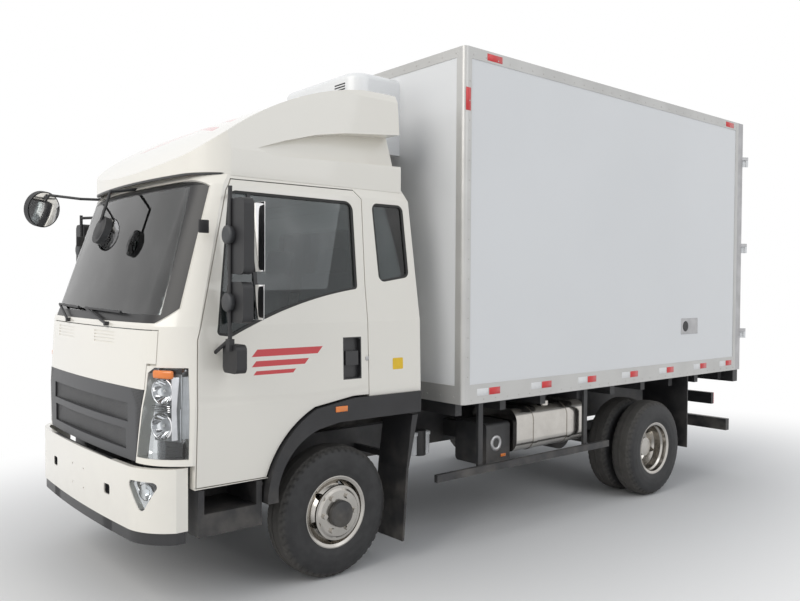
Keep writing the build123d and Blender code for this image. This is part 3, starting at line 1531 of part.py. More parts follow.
# Two round mirrors before the screen, each a disc on a bent bar from the roof's front edge
RoundMirror = namedtuple("RoundMirror", "bar centre facing radius thickness")
header_z = 2371
front_bar_radius = 9
round_mirrors = (
    RoundMirror(
        ((-700, -800, header_z), (-760, -960, header_z), (-930, -1120, 2400), (-960, -1165, 2310)),
        (-960, -1145, 2300), (1, 0.35, -0.2), 125, 45,
    ),
    RoundMirror(
        ((60, -850, header_z), (60, -1060, 2340), (60, -1120, 2150)),
        (60, -1090, 2095), (0, 1, -0.35), 85, 40,
    ),
)
with BuildPart() as front_mirrors:
    for row in round_mirrors:
        for start, end in zip(row.bar, row.bar[1:]):
            add(rod(start, end, front_bar_radius))
        with BuildSketch(Plane(origin=row.centre, z_dir=row.facing)):
            Circle(row.radius)
        extrude(amount=-row.thickness)
    add(cab_skin, mode=Mode.SUBTRACT)
save(front_mirrors.part, "front_mirrors")

# Wipers: a pivot, an arm and a blade in two straight lengths, following the screen's bow
Wiper = namedtuple("Wiper", "pivot_x elbow_x elbow_z tip_x tip_z")
wiper_rows = (Wiper(330, -60, 1640, 480, 1626), Wiper(-330, -640, 1650, -180, 1640))
screen_slope = (brow_row.nose_y - screen_row.nose_y) / (brow_row.height - screen_row.height)
screen_bow = screen_row.corner_y - screen_row.nose_y
wiper_radius = 8
pivot_radius = 12
pivot_z = flap_top + 16
pivot_stand = 24
arm_stand = 15
blade_stand = 13


def before_screen(x, z, stand):
    """A point in front of the windscreen's skin by a given stand."""
    nose = screen_row.nose_y + (z - screen_row.height) * screen_slope
    return (x, nose + screen_bow * (x / screen_row.corner_x) ** 2 - stand, z)


with BuildPart() as wipers:
    for row in wiper_rows:
        pivot_foot = before_screen(row.pivot_x, pivot_z, -swing_gap)
        elbow = before_screen(row.elbow_x, row.elbow_z, arm_stand)
        middle = before_screen((row.elbow_x + row.tip_x) / 2, (row.elbow_z + row.tip_z) / 2, blade_stand)
        add(rod(pivot_foot, before_screen(row.pivot_x, pivot_z, pivot_stand), pivot_radius))
        add(rod(before_screen(row.pivot_x, pivot_z, arm_stand), elbow, wiper_radius))
        add(rod(elbow, middle, wiper_radius))
        add(rod(middle, before_screen(row.tip_x, row.tip_z, arm_stand), wiper_radius))
    add(cab_skin, mode=Mode.SUBTRACT)
save(wipers.part, "wipers")
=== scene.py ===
# %% [markdown]
# A refrigerated truck, dressed. The solid model gives every panel, wheel and hinge at its real size, so this
# notebook only adds what a solid model leaves out: paint, rubber, glass and metal finishes, tread, seals, lamps,
# tape and small trim. The first cell loads the model, which comes in as one object for each piece, all in
# metres, with the truck standing on Z = 0, its nose towards -Y and its left side towards +X.

import json
import math

import bpy
import numpy as np
from mathutils import Matrix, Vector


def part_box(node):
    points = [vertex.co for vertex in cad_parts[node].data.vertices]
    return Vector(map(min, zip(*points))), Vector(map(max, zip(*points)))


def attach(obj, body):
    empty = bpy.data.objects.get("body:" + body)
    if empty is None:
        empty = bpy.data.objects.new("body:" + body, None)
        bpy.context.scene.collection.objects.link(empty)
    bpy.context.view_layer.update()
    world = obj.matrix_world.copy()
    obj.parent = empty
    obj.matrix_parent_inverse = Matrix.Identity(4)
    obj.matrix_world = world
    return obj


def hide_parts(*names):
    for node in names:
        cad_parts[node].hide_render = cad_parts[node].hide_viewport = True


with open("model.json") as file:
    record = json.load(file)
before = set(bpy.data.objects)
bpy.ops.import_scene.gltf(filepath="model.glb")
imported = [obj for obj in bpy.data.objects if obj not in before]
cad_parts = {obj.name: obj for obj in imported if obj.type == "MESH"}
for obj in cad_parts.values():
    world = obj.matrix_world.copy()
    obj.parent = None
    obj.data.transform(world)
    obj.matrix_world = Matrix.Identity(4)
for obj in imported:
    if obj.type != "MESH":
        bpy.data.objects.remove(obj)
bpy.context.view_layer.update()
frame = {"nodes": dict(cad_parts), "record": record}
front_tyre_low, front_tyre_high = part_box("tyre_front_left")
rear_tyre_low, rear_tyre_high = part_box("tyre_rear_outer_left")
axle_y = (front_tyre_low.y + front_tyre_high.y) / 2
rear_axle_y = (rear_tyre_low.y + rear_tyre_high.y) / 2
axle_z = (front_tyre_low.z + front_tyre_high.z) / 2

# %% [markdown]
# The camera stands to the left of the nose, at eye height, nearly level, about five and a half metres from the cab
# door. A camera can be aimed with a Track To constraint, but here the place and the angles were found by matching the
# corners of the load box, both wheels and the bumper's holes to the photograph, so they are kept as measured values
# and set as one matrix. The lens is given by its focal length in picture widths, which makes it independent of the
# size of the render.

# %% Camera
picture_width, picture_height = 800, 601
focal_pixels = 778.7
principal_x, principal_y = 380, 306
camera_place = np.array([4.719, axle_y - 2.796, 1.770])
camera_heading, camera_dip, camera_roll = np.radians([50.477, 1.362, 0.278])


def camera_axes(heading, dip, roll):
    """Right, up and back of a camera that looks along +Y turned by the heading to the left, dipped and rolled."""
    forward = np.array(
        [-math.sin(heading) * math.cos(dip), math.cos(heading) * math.cos(dip), -math.sin(dip)]
    )
    level = np.array([math.cos(heading), math.sin(heading), 0.0])
    above = np.cross(level, forward)
    right = level * math.cos(roll) + above * math.sin(roll)
    return right, np.cross(right, forward), -forward


def add_camera():
    """A camera object from its place, its axes and a lens given in picture widths."""
    lens = bpy.data.cameras.new("camera")
    lens.sensor_width = 36.0
    lens.lens = focal_pixels / picture_width * lens.sensor_width
    lens.shift_x = (picture_width / 2 - principal_x) / picture_width
    lens.shift_y = (principal_y - picture_height / 2) / picture_width
    lens.clip_end = 200.0
    lens.dof.use_dof = False
    eye = bpy.data.objects.new("camera", lens)
    turned = np.eye(4)
    turned[:3, :3] = np.array(camera_axes(camera_heading, camera_dip, camera_roll)).T
    turned[:3, 3] = camera_place
    eye.matrix_world = Matrix(turned)
    bpy.context.scene.collection.objects.link(eye)
    bpy.context.scene.camera = eye
    return eye


eye = add_camera()
bpy.context.scene.view_settings.view_transform = "Standard"
print("camera", [round(v, 3) for v in eye.location], "lens", round(eye.data.lens, 2), "mm")

# %% [markdown]
# Every finish below is a small network of shader nodes. Wiring nodes one by one is hard to read, so two small
# classes do it. A Socket is one output of a node, and adding, multiplying or comparing sockets adds the Math node
# that does the sum. A Finish is one material, and its add method makes any other node from its type, its settings
# and what goes into its sockets. With these, a finish reads like the formula that it is.

# %% Shader maths


class Socket:
    """One output socket. The arithmetic signs on it add Math nodes to the material that it belongs to."""

    def __init__(self, finish, link):
        self.finish = finish
        self.link = link

    def maths(self, operation, *terms):
        """One Math node on the given terms."""
        return self.finish.add("ShaderNodeMath", {"operation": operation}, dict(enumerate(terms)))

    def __add__(self, other):
        return self.maths("ADD", self, other)

    def __sub__(self, other):
        return self.maths("SUBTRACT", self, other)

    def __rsub__(self, other):
        return self.maths("SUBTRACT", other, self)

    def __mul__(self, other):
        return self.maths("MULTIPLY", self, other)

    __radd__ = __add__
    __rmul__ = __mul__

    def size(self):
        """The value without its sign."""
        return self.maths("ABSOLUTE", self)

    def larger(self, other):
        """The larger of two values."""
        return self.maths("MAXIMUM", self, other)

    def root(self):
        return self.maths("SQRT", self)

    def wave(self):
        return self.maths("SINE", self)

    def step(self, low, high):
        """A smooth step from 0 at low to 1 at high."""
        settings = {"interpolation_type": "SMOOTHSTEP"}
        return self.finish.add("ShaderNodeMapRange", settings, {0: self, 1: low, 2: high})


class Finish:
    """A material, or the world: its nodes are added by add, and close joins the last shader to the output."""

    def __init__(self, owner):
        self.owner = owner
        owner.use_nodes = True
        self.tree = owner.node_tree
        self.tree.nodes.clear()

    def add(self, kind, settings=None, inputs=None, output=0):
        """Any node: settings first, with a ramp's stops as a list of (place, colour), then values or links."""
        node = self.tree.nodes.new(kind)
        for key, value in (settings or {}).items():
            if key == "stops":
                ramp = node.color_ramp.elements
                while len(ramp) < len(value):
                    ramp.new(0.5)
                for stop, (place, colour) in zip(ramp, value):
                    stop.position = place
                    stop.color = (*colour, 1)
            else:
                setattr(node, key, value)
        for key, value in (inputs or {}).items():
            if isinstance(value, Socket):
                self.tree.links.new(value.link, node.inputs[key])
            elif isinstance(value, (tuple, list)) and len(value) == 3 and node.inputs[key].type == "RGBA":
                node.inputs[key].default_value = (*value, 1)
            else:
                node.inputs[key].default_value = value
        return None if output is None else Socket(self, node.outputs[output])

    def place(self):
        """The point on the surface, in metres in the truck's frame."""
        return self.add("ShaderNodeTexCoord", output="Object")

    def axes(self, point):
        """The three coordinates of a point as three sockets."""
        split = self.add("ShaderNodeSeparateXYZ", None, {0: point})
        outputs = split.link.node.outputs
        return [Socket(self, outputs[number]) for number in range(3)]

    def stretched(self, point, factors):
        """The point with each coordinate multiplied by its own factor, to draw a pattern out along an axis."""
        return self.add("ShaderNodeVectorMath", {"operation": "MULTIPLY"}, {0: point, 1: factors})

    def noise(self, point, scale, detail=2.0, roughness=0.5):
        """A cloud between 0 and 1, with scale features to the metre."""
        sockets = {"Vector": point, "Scale": scale, "Detail": detail, "Roughness": roughness}
        return self.add("ShaderNodeTexNoise", None, sockets)

    def blend(self, factor, first, second):
        """The first colour where the factor is 0 and the second where it is 1."""
        return self.add("ShaderNodeMix", {"data_type": "RGBA"}, {0: factor, 6: first, 7: second}, 2)

    def bump(self, height, distance):
        """A normal raised by the height times the distance in metres."""
        return self.add("ShaderNodeBump", None, {"Height": height, "Distance": distance, "Strength": 1.0})

    def close(self, shader, kind="ShaderNodeOutputMaterial"):
        """Joins the last shader to the output and returns the material or the world."""
        self.add(kind, None, {"Surface": shader}, None)
        return self.owner


def new_finish(name):
    """A Finish on a new material."""
    return Finish(bpy.data.materials.new(name))


print("shader maths ready")

# %% [markdown]
# Most of the truck is painted, moulded or rolled, and these finishes differ in a few numbers: the colour, how
# glossy the surface is, how far its colour drifts, the size of its grain and how much road dust it carries. Each
# could be wired by hand in the shader editor, but one function and a table make them all, so they stay alike and
# can be compared row by row. The colour drifts with a broad cloud, the gloss with a finer one, the grain is a bump,
# and the dust is strongest near the ground and fades out at the height of the door sills.

# %% Painted, moulded and rolled finishes
finishes = {}
dust_colour = (0.36, 0.33, 0.29)


def surface(
    name,
    colour,
    gloss,
    drift=0.05,
    drift_scale=1.5,
    grain_scale=300.0,
    grain_depth=0.00004,
    stretch=(1.0, 1.0, 1.0),
    metal=0.0,
    coat=0.0,
    dust=0.25,
    dust_top=1.1,
    wave_depth=0.0,
):
    """A plain finish: colour times (1 +- drift), roughness around the given gloss, grain and dust by height."""
    made = new_finish(name)
    point = made.place()
    cloud = made.noise(point, drift_scale, 4.0)
    fine = made.noise(made.stretched(point, stretch), grain_scale, 3.0)
    darker = tuple(c * (1 - drift) for c in colour)
    lighter = tuple(min(c * (1 + drift), 1.0) for c in colour)
    base = made.blend(cloud.step(0.3, 0.7), darker, lighter)
    height = made.axes(point)[2]
    settled = (1 - height.step(0.15, dust_top)) * made.noise(point, 7.0, 5.0).step(0.35, 0.75) * dust
    coloured = made.blend(settled, base, dust_colour)
    rough = gloss + (fine - 0.5) * (gloss * 0.35) + settled * 0.5
    relief = fine
    if wave_depth:
        relief = fine + made.noise(point, 1.3, 0.0) * (wave_depth / grain_depth)
    sockets = {
        "Base Color": coloured,
        "Roughness": rough,
        "Metallic": metal,
        "Coat Weight": coat,
        "Coat Roughness": 0.05,
        "Normal": made.bump(relief, grain_depth),
    }
    finishes[name] = made.close(made.add("ShaderNodeBsdfPrincipled", None, sockets))
    return finishes[name]


along_y, along_z = (1.0, 0.04, 1.0), (1.0, 1.0, 0.03)
plain_finishes = (
    # name, colour, gloss, drift of the colour, drift scale, grain scale, grain depth in metres, the rest
    ("cab_paint", (0.86, 0.83, 0.76), 0.3, 0.015, 0.8, 900.0, 0.00001, {"coat": 0.9, "dust": 0.1}),
    ("box_skin", (0.8, 0.81, 0.82), 0.32, 0.02, 0.5, 500.0, 0.00001,
     {"coat": 0.4, "dust": 0.04, "wave_depth": 0.0006}),
    ("chassis_black", (0.03, 0.03, 0.032), 0.45, 0.25, 6.0, 160.0, 0.00010, {"dust": 0.35, "dust_top": 1.0}),
    ("black_plastic", (0.022, 0.022, 0.024), 0.5, 0.15, 5.0, 700.0, 0.00008, {"dust": 0.25}),
    ("grey_plastic", (0.05, 0.052, 0.056), 0.52, 0.12, 5.0, 700.0, 0.00010, {"dust": 0.12}),
    ("trim_aluminium", (0.52, 0.51, 0.49), 0.42, 0.06, 3.0, 260.0, 0.00003,
     {"stretch": along_y, "metal": 0.4, "dust": 0.1}),
    ("post_aluminium", (0.57, 0.565, 0.55), 0.38, 0.05, 3.0, 260.0, 0.00003,
     {"stretch": along_z, "metal": 0.4, "dust": 0.1}),
    ("polished_aluminium", (0.52, 0.5, 0.47), 0.18, 0.05, 9.0, 320.0, 0.00002, {"metal": 1.0, "dust": 0.18}),
    ("iron", (0.11, 0.105, 0.1), 0.62, 0.3, 12.0, 120.0, 0.00040, {"metal": 0.6, "dust": 0.35}),
    ("dark_steel", (0.42, 0.42, 0.43), 0.36, 0.1, 8.0, 300.0, 0.00005, {"metal": 1.0, "dust": 0.1}),
    ("chrome", (0.88, 0.88, 0.89), 0.07, 0.02, 6.0, 200.0, 0.00001, {"metal": 1.0, "dust": 0.0}),
    ("unit_plastic", (0.86, 0.87, 0.88), 0.28, 0.02, 2.0, 600.0, 0.00002, {"coat": 0.4, "dust": 0.0}),
    ("rubber", (0.018, 0.018, 0.018), 0.62, 0.1, 8.0, 500.0, 0.00008, {"dust": 0.15}),
    ("amber", (0.85, 0.22, 0.02), 0.22, 0.06, 30.0, 400.0, 0.00004, {"coat": 0.8, "dust": 0.05}),
    ("red_lens", (0.55, 0.02, 0.02), 0.22, 0.06, 30.0, 400.0, 0.00004, {"coat": 0.8, "dust": 0.1}),
    ("yellow_label", (0.86, 0.56, 0.03), 0.38, 0.04, 20.0, 500.0, 0.00002, {"dust": 0.0}),
    ("tape_red", (0.7, 0.025, 0.03), 0.3, 0.05, 20.0, 300.0, 0.00004, {"coat": 0.3, "dust": 0.05}),
    ("tape_white", (0.84, 0.84, 0.84), 0.3, 0.04, 20.0, 300.0, 0.00004, {"coat": 0.3, "dust": 0.05}),
    ("lamp_silver", (0.62, 0.63, 0.65), 0.3, 0.06, 20.0, 300.0, 0.00004, {"metal": 0.8, "dust": 0.0}),
    ("lamp_white", (0.9, 0.9, 0.88), 0.1, 0.02, 20.0, 300.0, 0.00002, {"coat": 0.5, "dust": 0.0}),
)
for name, colour, gloss, drift, drift_scale, grain_scale, grain_depth, rest in plain_finishes:
    surface(name, colour, gloss, drift, drift_scale, grain_scale, grain_depth, **rest)
print(len(finishes), "plain finishes")

# %% [markdown]
# Tyre rubber is its own case: the tread is scuffed grey-brown by the road and the sidewall stays black, and the
# difference depends on the distance from the axle. Glass could be the Glass shader, but that bends light twice in a
# thin pane and darkens the cab, so each pane is a clear tinted layer under a mirror that grows at grazing angles.
# Woven cloth is two sets of threads, drawn by two sine waves.

# %% Rubber, glass and cloth


def tyre_rubber():
    """Black rubber, dusty where the distance from the nearer axle is large, with a fine moulded grain."""
    made = new_finish("tyre")
    point = made.place()
    along, height = made.axes(point)[1:]
    middle = (axle_y + rear_axle_y) / 2
    nearer = (along - middle).size() - (rear_axle_y - axle_y) / 2
    reach = (nearer * nearer + (height - axle_z) * (height - axle_z)).root()
    tread = reach.step(0.36, 0.395)
    cloud = made.noise(point, 14.0, 5.0)
    base = made.blend(cloud.step(0.3, 0.7), (0.020, 0.020, 0.021), (0.034, 0.034, 0.035))
    scuffed = made.blend(tread * (0.25 + cloud * 0.5), base, (0.12, 0.112, 0.10))
    sockets = {
        "Base Color": scuffed,
        "Roughness": 0.58 + tread * 0.22 + (cloud - 0.5) * 0.15,
        "Normal": made.bump(made.noise(point, 420.0, 3.0), 0.00012),
    }
    finishes["tyre"] = made.close(made.add("ShaderNodeBsdfPrincipled", None, sockets))


def glass(name, tint, roughness=0.0):
    """A tinted clear layer mixed with a sharp mirror by the Fresnel share, so it can be seen through both ways."""
    made = new_finish(name)
    point = made.place()
    share = made.add("ShaderNodeFresnel", None, {"IOR": 1.5})
    smear = made.noise(point, 3.0, 3.0).step(0.4, 0.8) * 0.03
    clear = made.add("ShaderNodeBsdfTransparent", None, {"Color": tint})
    mirror = made.add("ShaderNodeBsdfGlossy", None, {"Roughness": roughness})
    mixed = made.add("ShaderNodeMixShader", None, {0: share * 1.3 + smear, 1: clear, 2: mirror})
    finishes[name] = made.close(mixed)


def woven(name, first, second, threads):
    """Cloth of two thread colours: the product of two sine waves raises the crossings."""
    made = new_finish(name)
    point = made.place()
    across, along, height = made.axes(point)
    turn = 2 * math.pi * threads
    weave = ((across + height) * turn).wave() * ((along + height) * turn).wave() * 0.5 + 0.5
    cloud = made.noise(point, 5.0, 3.0)
    sockets = {
        "Base Color": made.blend(weave * 0.6 + cloud * 0.4, first, second),
        "Roughness": 0.85 + (cloud - 0.5) * 0.1,
        "Normal": made.bump(weave, 0.0004),
    }
    finishes[name] = made.close(made.add("ShaderNodeBsdfPrincipled", None, sockets))


def panel_paint(name, base, height_of, marks):
    """Cab paint with a soft pressed line in its bump, and marks: (mask, colour, roughness) laid over each other."""
    made = new_finish(name)
    point = made.place()
    axes = made.axes(point)
    cloud = made.noise(point, 0.8, 4.0)
    fine = made.noise(point, 900.0, 3.0)
    colour = made.blend(cloud.step(0.3, 0.7), tuple(c * 0.985 for c in base), base)
    settled = (1 - axes[2].step(0.15, 1.1)) * made.noise(point, 7.0, 5.0).step(0.35, 0.75) * 0.10
    colour = made.blend(settled, colour, dust_colour)
    rough = 0.30 + (fine - 0.5) * 0.1
    coat = 0.9
    for mask, mark_colour, mark_rough in marks(*axes):
        colour = made.blend(mask, colour, mark_colour)
        rough = rough + mask * (mark_rough - 0.30)
        coat = coat - mask * 0.6 if mark_rough > 0.3 else coat
    sockets = {
        "Base Color": colour,
        "Roughness": rough,
        "Coat Weight": coat,
        "Coat Roughness": 0.05,
        "Normal": made.bump(height_of(*axes) + fine * 0.002, 0.004),
    }
    finishes[name] = made.close(made.add("ShaderNodeBsdfPrincipled", None, sockets))


def within(value, low, high, edge=0.001):
    """1 between low and high and 0 outside, with a soft edge."""
    return value.step(low - edge, low + edge) * (1 - value.step(high - edge, high + edge))


plate_black, bumper_black = (0.02, 0.02, 0.022), (0.022, 0.022, 0.024)
bar_red, chevron_red = (0.62, 0.02, 0.03), (0.62, 0.03, 0.04)
satin, matt, glossy = 0.45, 0.5, 0.3
press_middle_y, press_line_z, press_rise = axle_y - 0.25, 1.142, 0.05
plate_y, plate_z = (axle_y - 0.004, axle_y + 0.134), (1.216, 1.470)
bar_rows = ((1.405, 0.020), (1.345, 0.016), (1.295, 0.011))  # height and half the thickness of each bar
bar_ends_y, bar_lean, bar_lean_z = (axle_y - 0.66, axle_y - 0.22), 0.9, 1.35
bar_step_start, bar_step_end = 0.05, 0.04
gasket_z, gasket_rear_y = 2.398, axle_y - 0.73
chevron_tips_y, chevron_sweep = (axle_y - 0.42, axle_y - 0.30), 0.35
chevron_half, chevron_reach = 0.024, 0.5425
valance_z, bumper_inner_y, bumper_inner_x = 0.485, axle_y - 1.224, 0.495


def side_press(across, along, height):
    """Height of the pressed line on the doors: a soft step that sinks towards the middle and rises behind it."""
    line = press_line_z + (along - press_middle_y).size() * press_rise
    return (height - line).step(-0.02, 0.02)


def door_marks(across, along, height):
    """The black handle plate in its recess, and three red bars that lean forward, one below the other."""
    marks = [(within(along, *plate_y) * within(height, *plate_z), plate_black, satin)]
    start, end = bar_ends_y
    for number, (middle, half) in enumerate(bar_rows):
        lean = (height - bar_lean_z) * bar_lean
        ends = within(along - lean, start + bar_step_start * number, end - bar_step_end * number, 0.002)
        marks.append((ends * within(height, middle - half, middle + half), bar_red, glossy))
    return marks


def fairing_marks(across, along, height):
    """A black gasket along the lower edge ahead of the doors, and two red chevrons across the front slope."""
    reach = across.size()
    below = 1 - height.step(gasket_z - 0.002, gasket_z + 0.002)
    marks = [(below * (1 - along.step(gasket_rear_y - 0.01, gasket_rear_y + 0.01)), plate_black, matt)]
    for tip_y in chevron_tips_y:
        across_bar = within(along + reach * chevron_sweep, tip_y - chevron_half, tip_y + chevron_half, 0.002)
        marks.append((across_bar * within(reach, -1.0, chevron_reach, 0.0025), chevron_red, glossy))
    return marks


def bumper_marks(across, along, height):
    """Black below the bumper's lower edge, and a black rim inside its square openings."""
    below = 1 - height.step(valance_z - 0.001, valance_z + 0.001)
    behind = along.step(bumper_inner_y - 0.002, bumper_inner_y + 0.002)
    between = 1 - across.size().step(bumper_inner_x - 0.005, bumper_inner_x + 0.005)
    return [(below, bumper_black, matt), (behind * between, bumper_black, matt)]


def plain(across, along, height):
    """No pressed line: a flat height."""
    return height * 0


screen_foot_y, screen_foot_z, screen_lean = axle_y - 1.008, 1.655, 0.3047
frit_width, frit_low_z, frit_high_z = 0.059, 1.620, 2.320


def screen_pane():
    """Clear grey glass with a black border: along both edges, the foot and the top, in the screen's side view."""
    made = new_finish("screen_glass")
    across, along, height = made.axes(made.place())
    from_edge = along - screen_foot_y - (height - screen_foot_z) * screen_lean
    border = from_edge.step(-frit_width - 0.003, -frit_width + 0.003)
    border = border.larger(1 - height.step(frit_low_z - 0.002, frit_low_z + 0.002))
    border = border.larger(height.step(frit_high_z - 0.002, frit_high_z + 0.002))
    share = made.add("ShaderNodeFresnel", None, {"IOR": 1.5})
    smear = made.noise(made.place(), 3.0, 3.0).step(0.4, 0.8) * 0.05
    clear = made.add("ShaderNodeBsdfTransparent", None, {"Color": (0.80, 0.86, 0.86)})
    mirror = made.add("ShaderNodeBsdfGlossy", None, {"Roughness": 0.02})
    black = made.add("ShaderNodeBsdfPrincipled", None, {"Base Color": (0.008, 0.008, 0.009), "Roughness": 0.35})
    pane = made.add("ShaderNodeMixShader", None, {0: share * 1.2 + smear + 0.04, 1: clear, 2: mirror})
    finishes["screen_glass"] = made.close(made.add("ShaderNodeMixShader", None, {0: border, 1: pane, 2: black}))


mesh_slope, mesh_turns, mesh_y = 1.6, 260.0, axle_y - 1.172


def grille_mesh():
    """Dark grey bars, with an upright diamond mesh behind them drawn by two crossing sine waves, its holes painted
    shade.
    """
    made = new_finish("grille_dark")
    point = made.place()
    across, along, height = made.axes(point)
    first = ((across + height * mesh_slope) * mesh_turns).wave()
    second = ((across - height * mesh_slope) * mesh_turns).wave()
    holes = (first * second).step(-0.1, 0.3)
    behind = along.step(mesh_y, mesh_y + 0.003)
    cloud = made.noise(point, 12.0, 3.0)
    body_colour = made.blend(cloud, (0.045, 0.046, 0.050), (0.060, 0.061, 0.065))
    # Painted shade: the mesh's holes are near-black (0.006), standing in for the dark space behind the grille.
    mesh_and_hole_shade = made.blend(holes, (0.075, 0.076, 0.080), (0.006, 0.006, 0.006))
    sockets = {
        "Base Color": made.blend(behind, body_colour, mesh_and_hole_shade),
        "Roughness": 0.42 + (cloud - 0.5) * 0.1,
        "Normal": made.bump(1 - holes * behind, 0.004),
    }
    finishes["grille_dark"] = made.close(made.add("ShaderNodeBsdfPrincipled", None, sockets))


tail_lens_depth = 0.011


def tail_lens():
    """Red glossy lens on the lamps' rear faces, and a black housing everywhere ahead of them."""
    made = new_finish("tail_lens")
    point = made.place()
    along = made.axes(point)[1]
    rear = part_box("tail_lamps")[1].y
    lens = along.step(rear - tail_lens_depth - 0.001, rear - tail_lens_depth + 0.001)
    ribs = (made.axes(point)[0] * 900.0).wave()
    cloud = made.noise(point, 30.0, 3.0)
    red = made.blend(cloud, (0.48, 0.015, 0.018), (0.60, 0.02, 0.025))
    sockets = {
        "Base Color": made.blend(lens, (0.022, 0.022, 0.024), red),
        "Roughness": 0.45 - lens * 0.27 + (cloud - 0.5) * 0.08,
        "Coat Weight": lens * 0.8,
        "Normal": made.bump(ribs * lens + cloud * 0.2, 0.0006),
    }
    finishes["tail_lens"] = made.close(made.add("ShaderNodeBsdfPrincipled", None, sockets))


cab_white = (0.86, 0.83, 0.76)
tail_lens()
tyre_rubber()
screen_pane()
grille_mesh()
panel_paint("door_paint", cab_white, side_press, door_marks)
panel_paint("fairing_paint", cab_white, plain, fairing_marks)
panel_paint("bumper_paint", cab_white, plain, bumper_marks)
glass("side_glass", (0.42, 0.46, 0.47))
glass("lamp_cover", (0.95, 0.97, 0.98))
woven("fabric", (0.10, 0.105, 0.115), (0.22, 0.225, 0.24), 90.0)
print(sorted(finishes))

# %% [markdown]
# The record of the model says which finish each node is meant to have, by the name of its material slot. A few
# nodes need another finish than their slot's: the load box has skins and extruded edges, and the cab has two
# tints of glass. The table below holds those cases, and every other slot takes the finish of its own name.

# %% Finishes on the model's own nodes
slot_finish = {
    "box_paint": "box_skin",
    "glass": "side_glass",
    "lamp_glass": "lamp_cover",
    "lamp_red": "red_lens",
}
node_finish = {
    "windscreen": "screen_glass",
    "box_trim": "post_aluminium",
    "box_floor": "trim_aluminium",
    "door_left": "door_paint",
    "door_right": "door_paint",
    "roof_fairing": "fairing_paint",
    "bumper": "bumper_paint",
    "grille": "grille_dark",
    "tail_lamps": "tail_lens",
}


def dress(node, name):
    """Gives a node one finish over its whole surface."""
    node.data.materials.clear()
    node.data.materials.append(finishes[name])


for row in frame["record"]["subparts"]:
    slot = row["material_slot"]
    dress(frame["nodes"][row["node"]], node_finish.get(row["node"], slot_finish.get(slot, slot)))
print("dressed", len(frame["nodes"]), "nodes")

# %% [markdown]
# Everything added below is a surface worked out as whole arrays of points. Three forms do nearly all of it: a grid
# of points with two parameters, a block with rounded edges, and a profile carried along a path. Places are given in
# millimetres from the point on the ground below the front axle, as in the model's own source, and one function
# turns them into the truck's frame in metres.

# %% Forms


def at(points):
    """Millimetres from the ground below the front axle, turned into metres in the truck's frame."""
    return np.asarray(points, float) / 1000 + np.array([0.0, axle_y, 0.0])


def grid_faces(rows, columns, wrap_rows=False, wrap_columns=False):
    """Four corner numbers for each cell of a grid of points, where either direction may close on itself."""
    row = np.arange(rows if wrap_rows else rows - 1)[:, None]
    column = np.arange(columns if wrap_columns else columns - 1)[None, :]
    next_row, next_column = (row + 1) % rows, (column + 1) % columns
    corners = [row * columns + column, row * columns + next_column]
    corners += [next_row * columns + next_column, next_row * columns + column]
    return np.stack(np.broadcast_arrays(*corners), -1).reshape(-1, 4)


def facing_out(points, faces):
    """The faces, turned round where they enclose less than nothing: corner . (corner x corner), summed over all."""
    corners = (points - points.mean(0))[faces]
    enclosed = (corners[:, :1] * np.cross(corners[:, 1:-1], corners[:, 2:])).sum()
    return faces[:, ::-1] if enclosed < -1e-9 else faces


def piece(name, points, faces, finish, body, smooth=True):
    """One mesh from an array of points and an array of faces, with one finish, riding on a body."""
    points = np.asarray(points, float).reshape(-1, 3)
    mesh = bpy.data.meshes.new(name)
    mesh.from_pydata(points.tolist(), [], facing_out(points, np.asarray(faces)).tolist())
    mesh.polygons.foreach_set("use_smooth", np.full(len(mesh.polygons), smooth))
    mesh.materials.append(finishes[finish])
    made = bpy.data.objects.new(name, mesh)
    bpy.context.scene.collection.objects.link(made)
    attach(made, body)
    return made


def blocks(name, centres, sizes, radius, finish, body, steps=3, turned=None):
    """Rounded blocks in one mesh: a point is its octant's inner corner plus the radius times a unit direction."""
    quarter = np.linspace(0.001, math.pi / 2 - 0.001, steps)
    turn = np.concatenate([quarter + part * math.pi / 2 for part in range(4)])
    rise, turn = np.meshgrid(np.concatenate([quarter - math.pi / 2, quarter]), turn, indexing="ij")
    way = np.stack([np.cos(rise) * np.cos(turn), np.cos(rise) * np.sin(turn), np.sin(rise)], -1)
    centres = np.atleast_2d(np.asarray(centres, float))[:, None, None, :]
    half = np.atleast_2d(np.asarray(sizes, float) / 2)[:, None, None, :] * np.ones_like(centres)
    shape = np.sign(way)[None] * (half - radius) + way[None] * radius
    pole = half * np.array([0.0, 0.0, 1.0]) * np.ones_like(shape[:, :1])
    shape = np.concatenate([-pole, shape, pole], 1)
    if turned is not None:
        shape = shape @ np.asarray(turned, float).T
    points = at(centres + shape)
    count, rows, columns = points.shape[:3]
    one = grid_faces(rows, columns, wrap_columns=True)
    faces = (one[None] + (np.arange(count) * rows * columns)[:, None, None]).reshape(-1, 4)
    return piece(name, points, faces, finish, body)


def band(name, path, outward, profile, finish, body, closed=True, inner=None, smooth=False):
    """A profile carried along a path: path + across * b + outward * n for each profile point (b, n)."""
    path = np.asarray(path, float)
    outward = np.broadcast_to(np.asarray(outward, float), path.shape)
    tangent = np.roll(path, -1, 0) - np.roll(path, 1, 0) if closed else np.gradient(path, axis=0)
    tangent = tangent / np.linalg.norm(tangent, axis=1, keepdims=True)
    outward = outward - tangent * (outward * tangent).sum(1, keepdims=True)
    outward = outward / np.linalg.norm(outward, axis=1, keepdims=True)
    across = np.cross(outward, tangent)
    if inner is not None and ((np.asarray(inner, float) - path) * across).sum() < 0:
        across = -across
    profile = np.asarray(profile, float)
    points = path[:, None] + across[:, None] * profile[None, :, :1] + outward[:, None] * profile[None, :, 1:]
    return piece(name, at(points), grid_faces(len(path), len(profile), closed, True), finish, body, smooth)


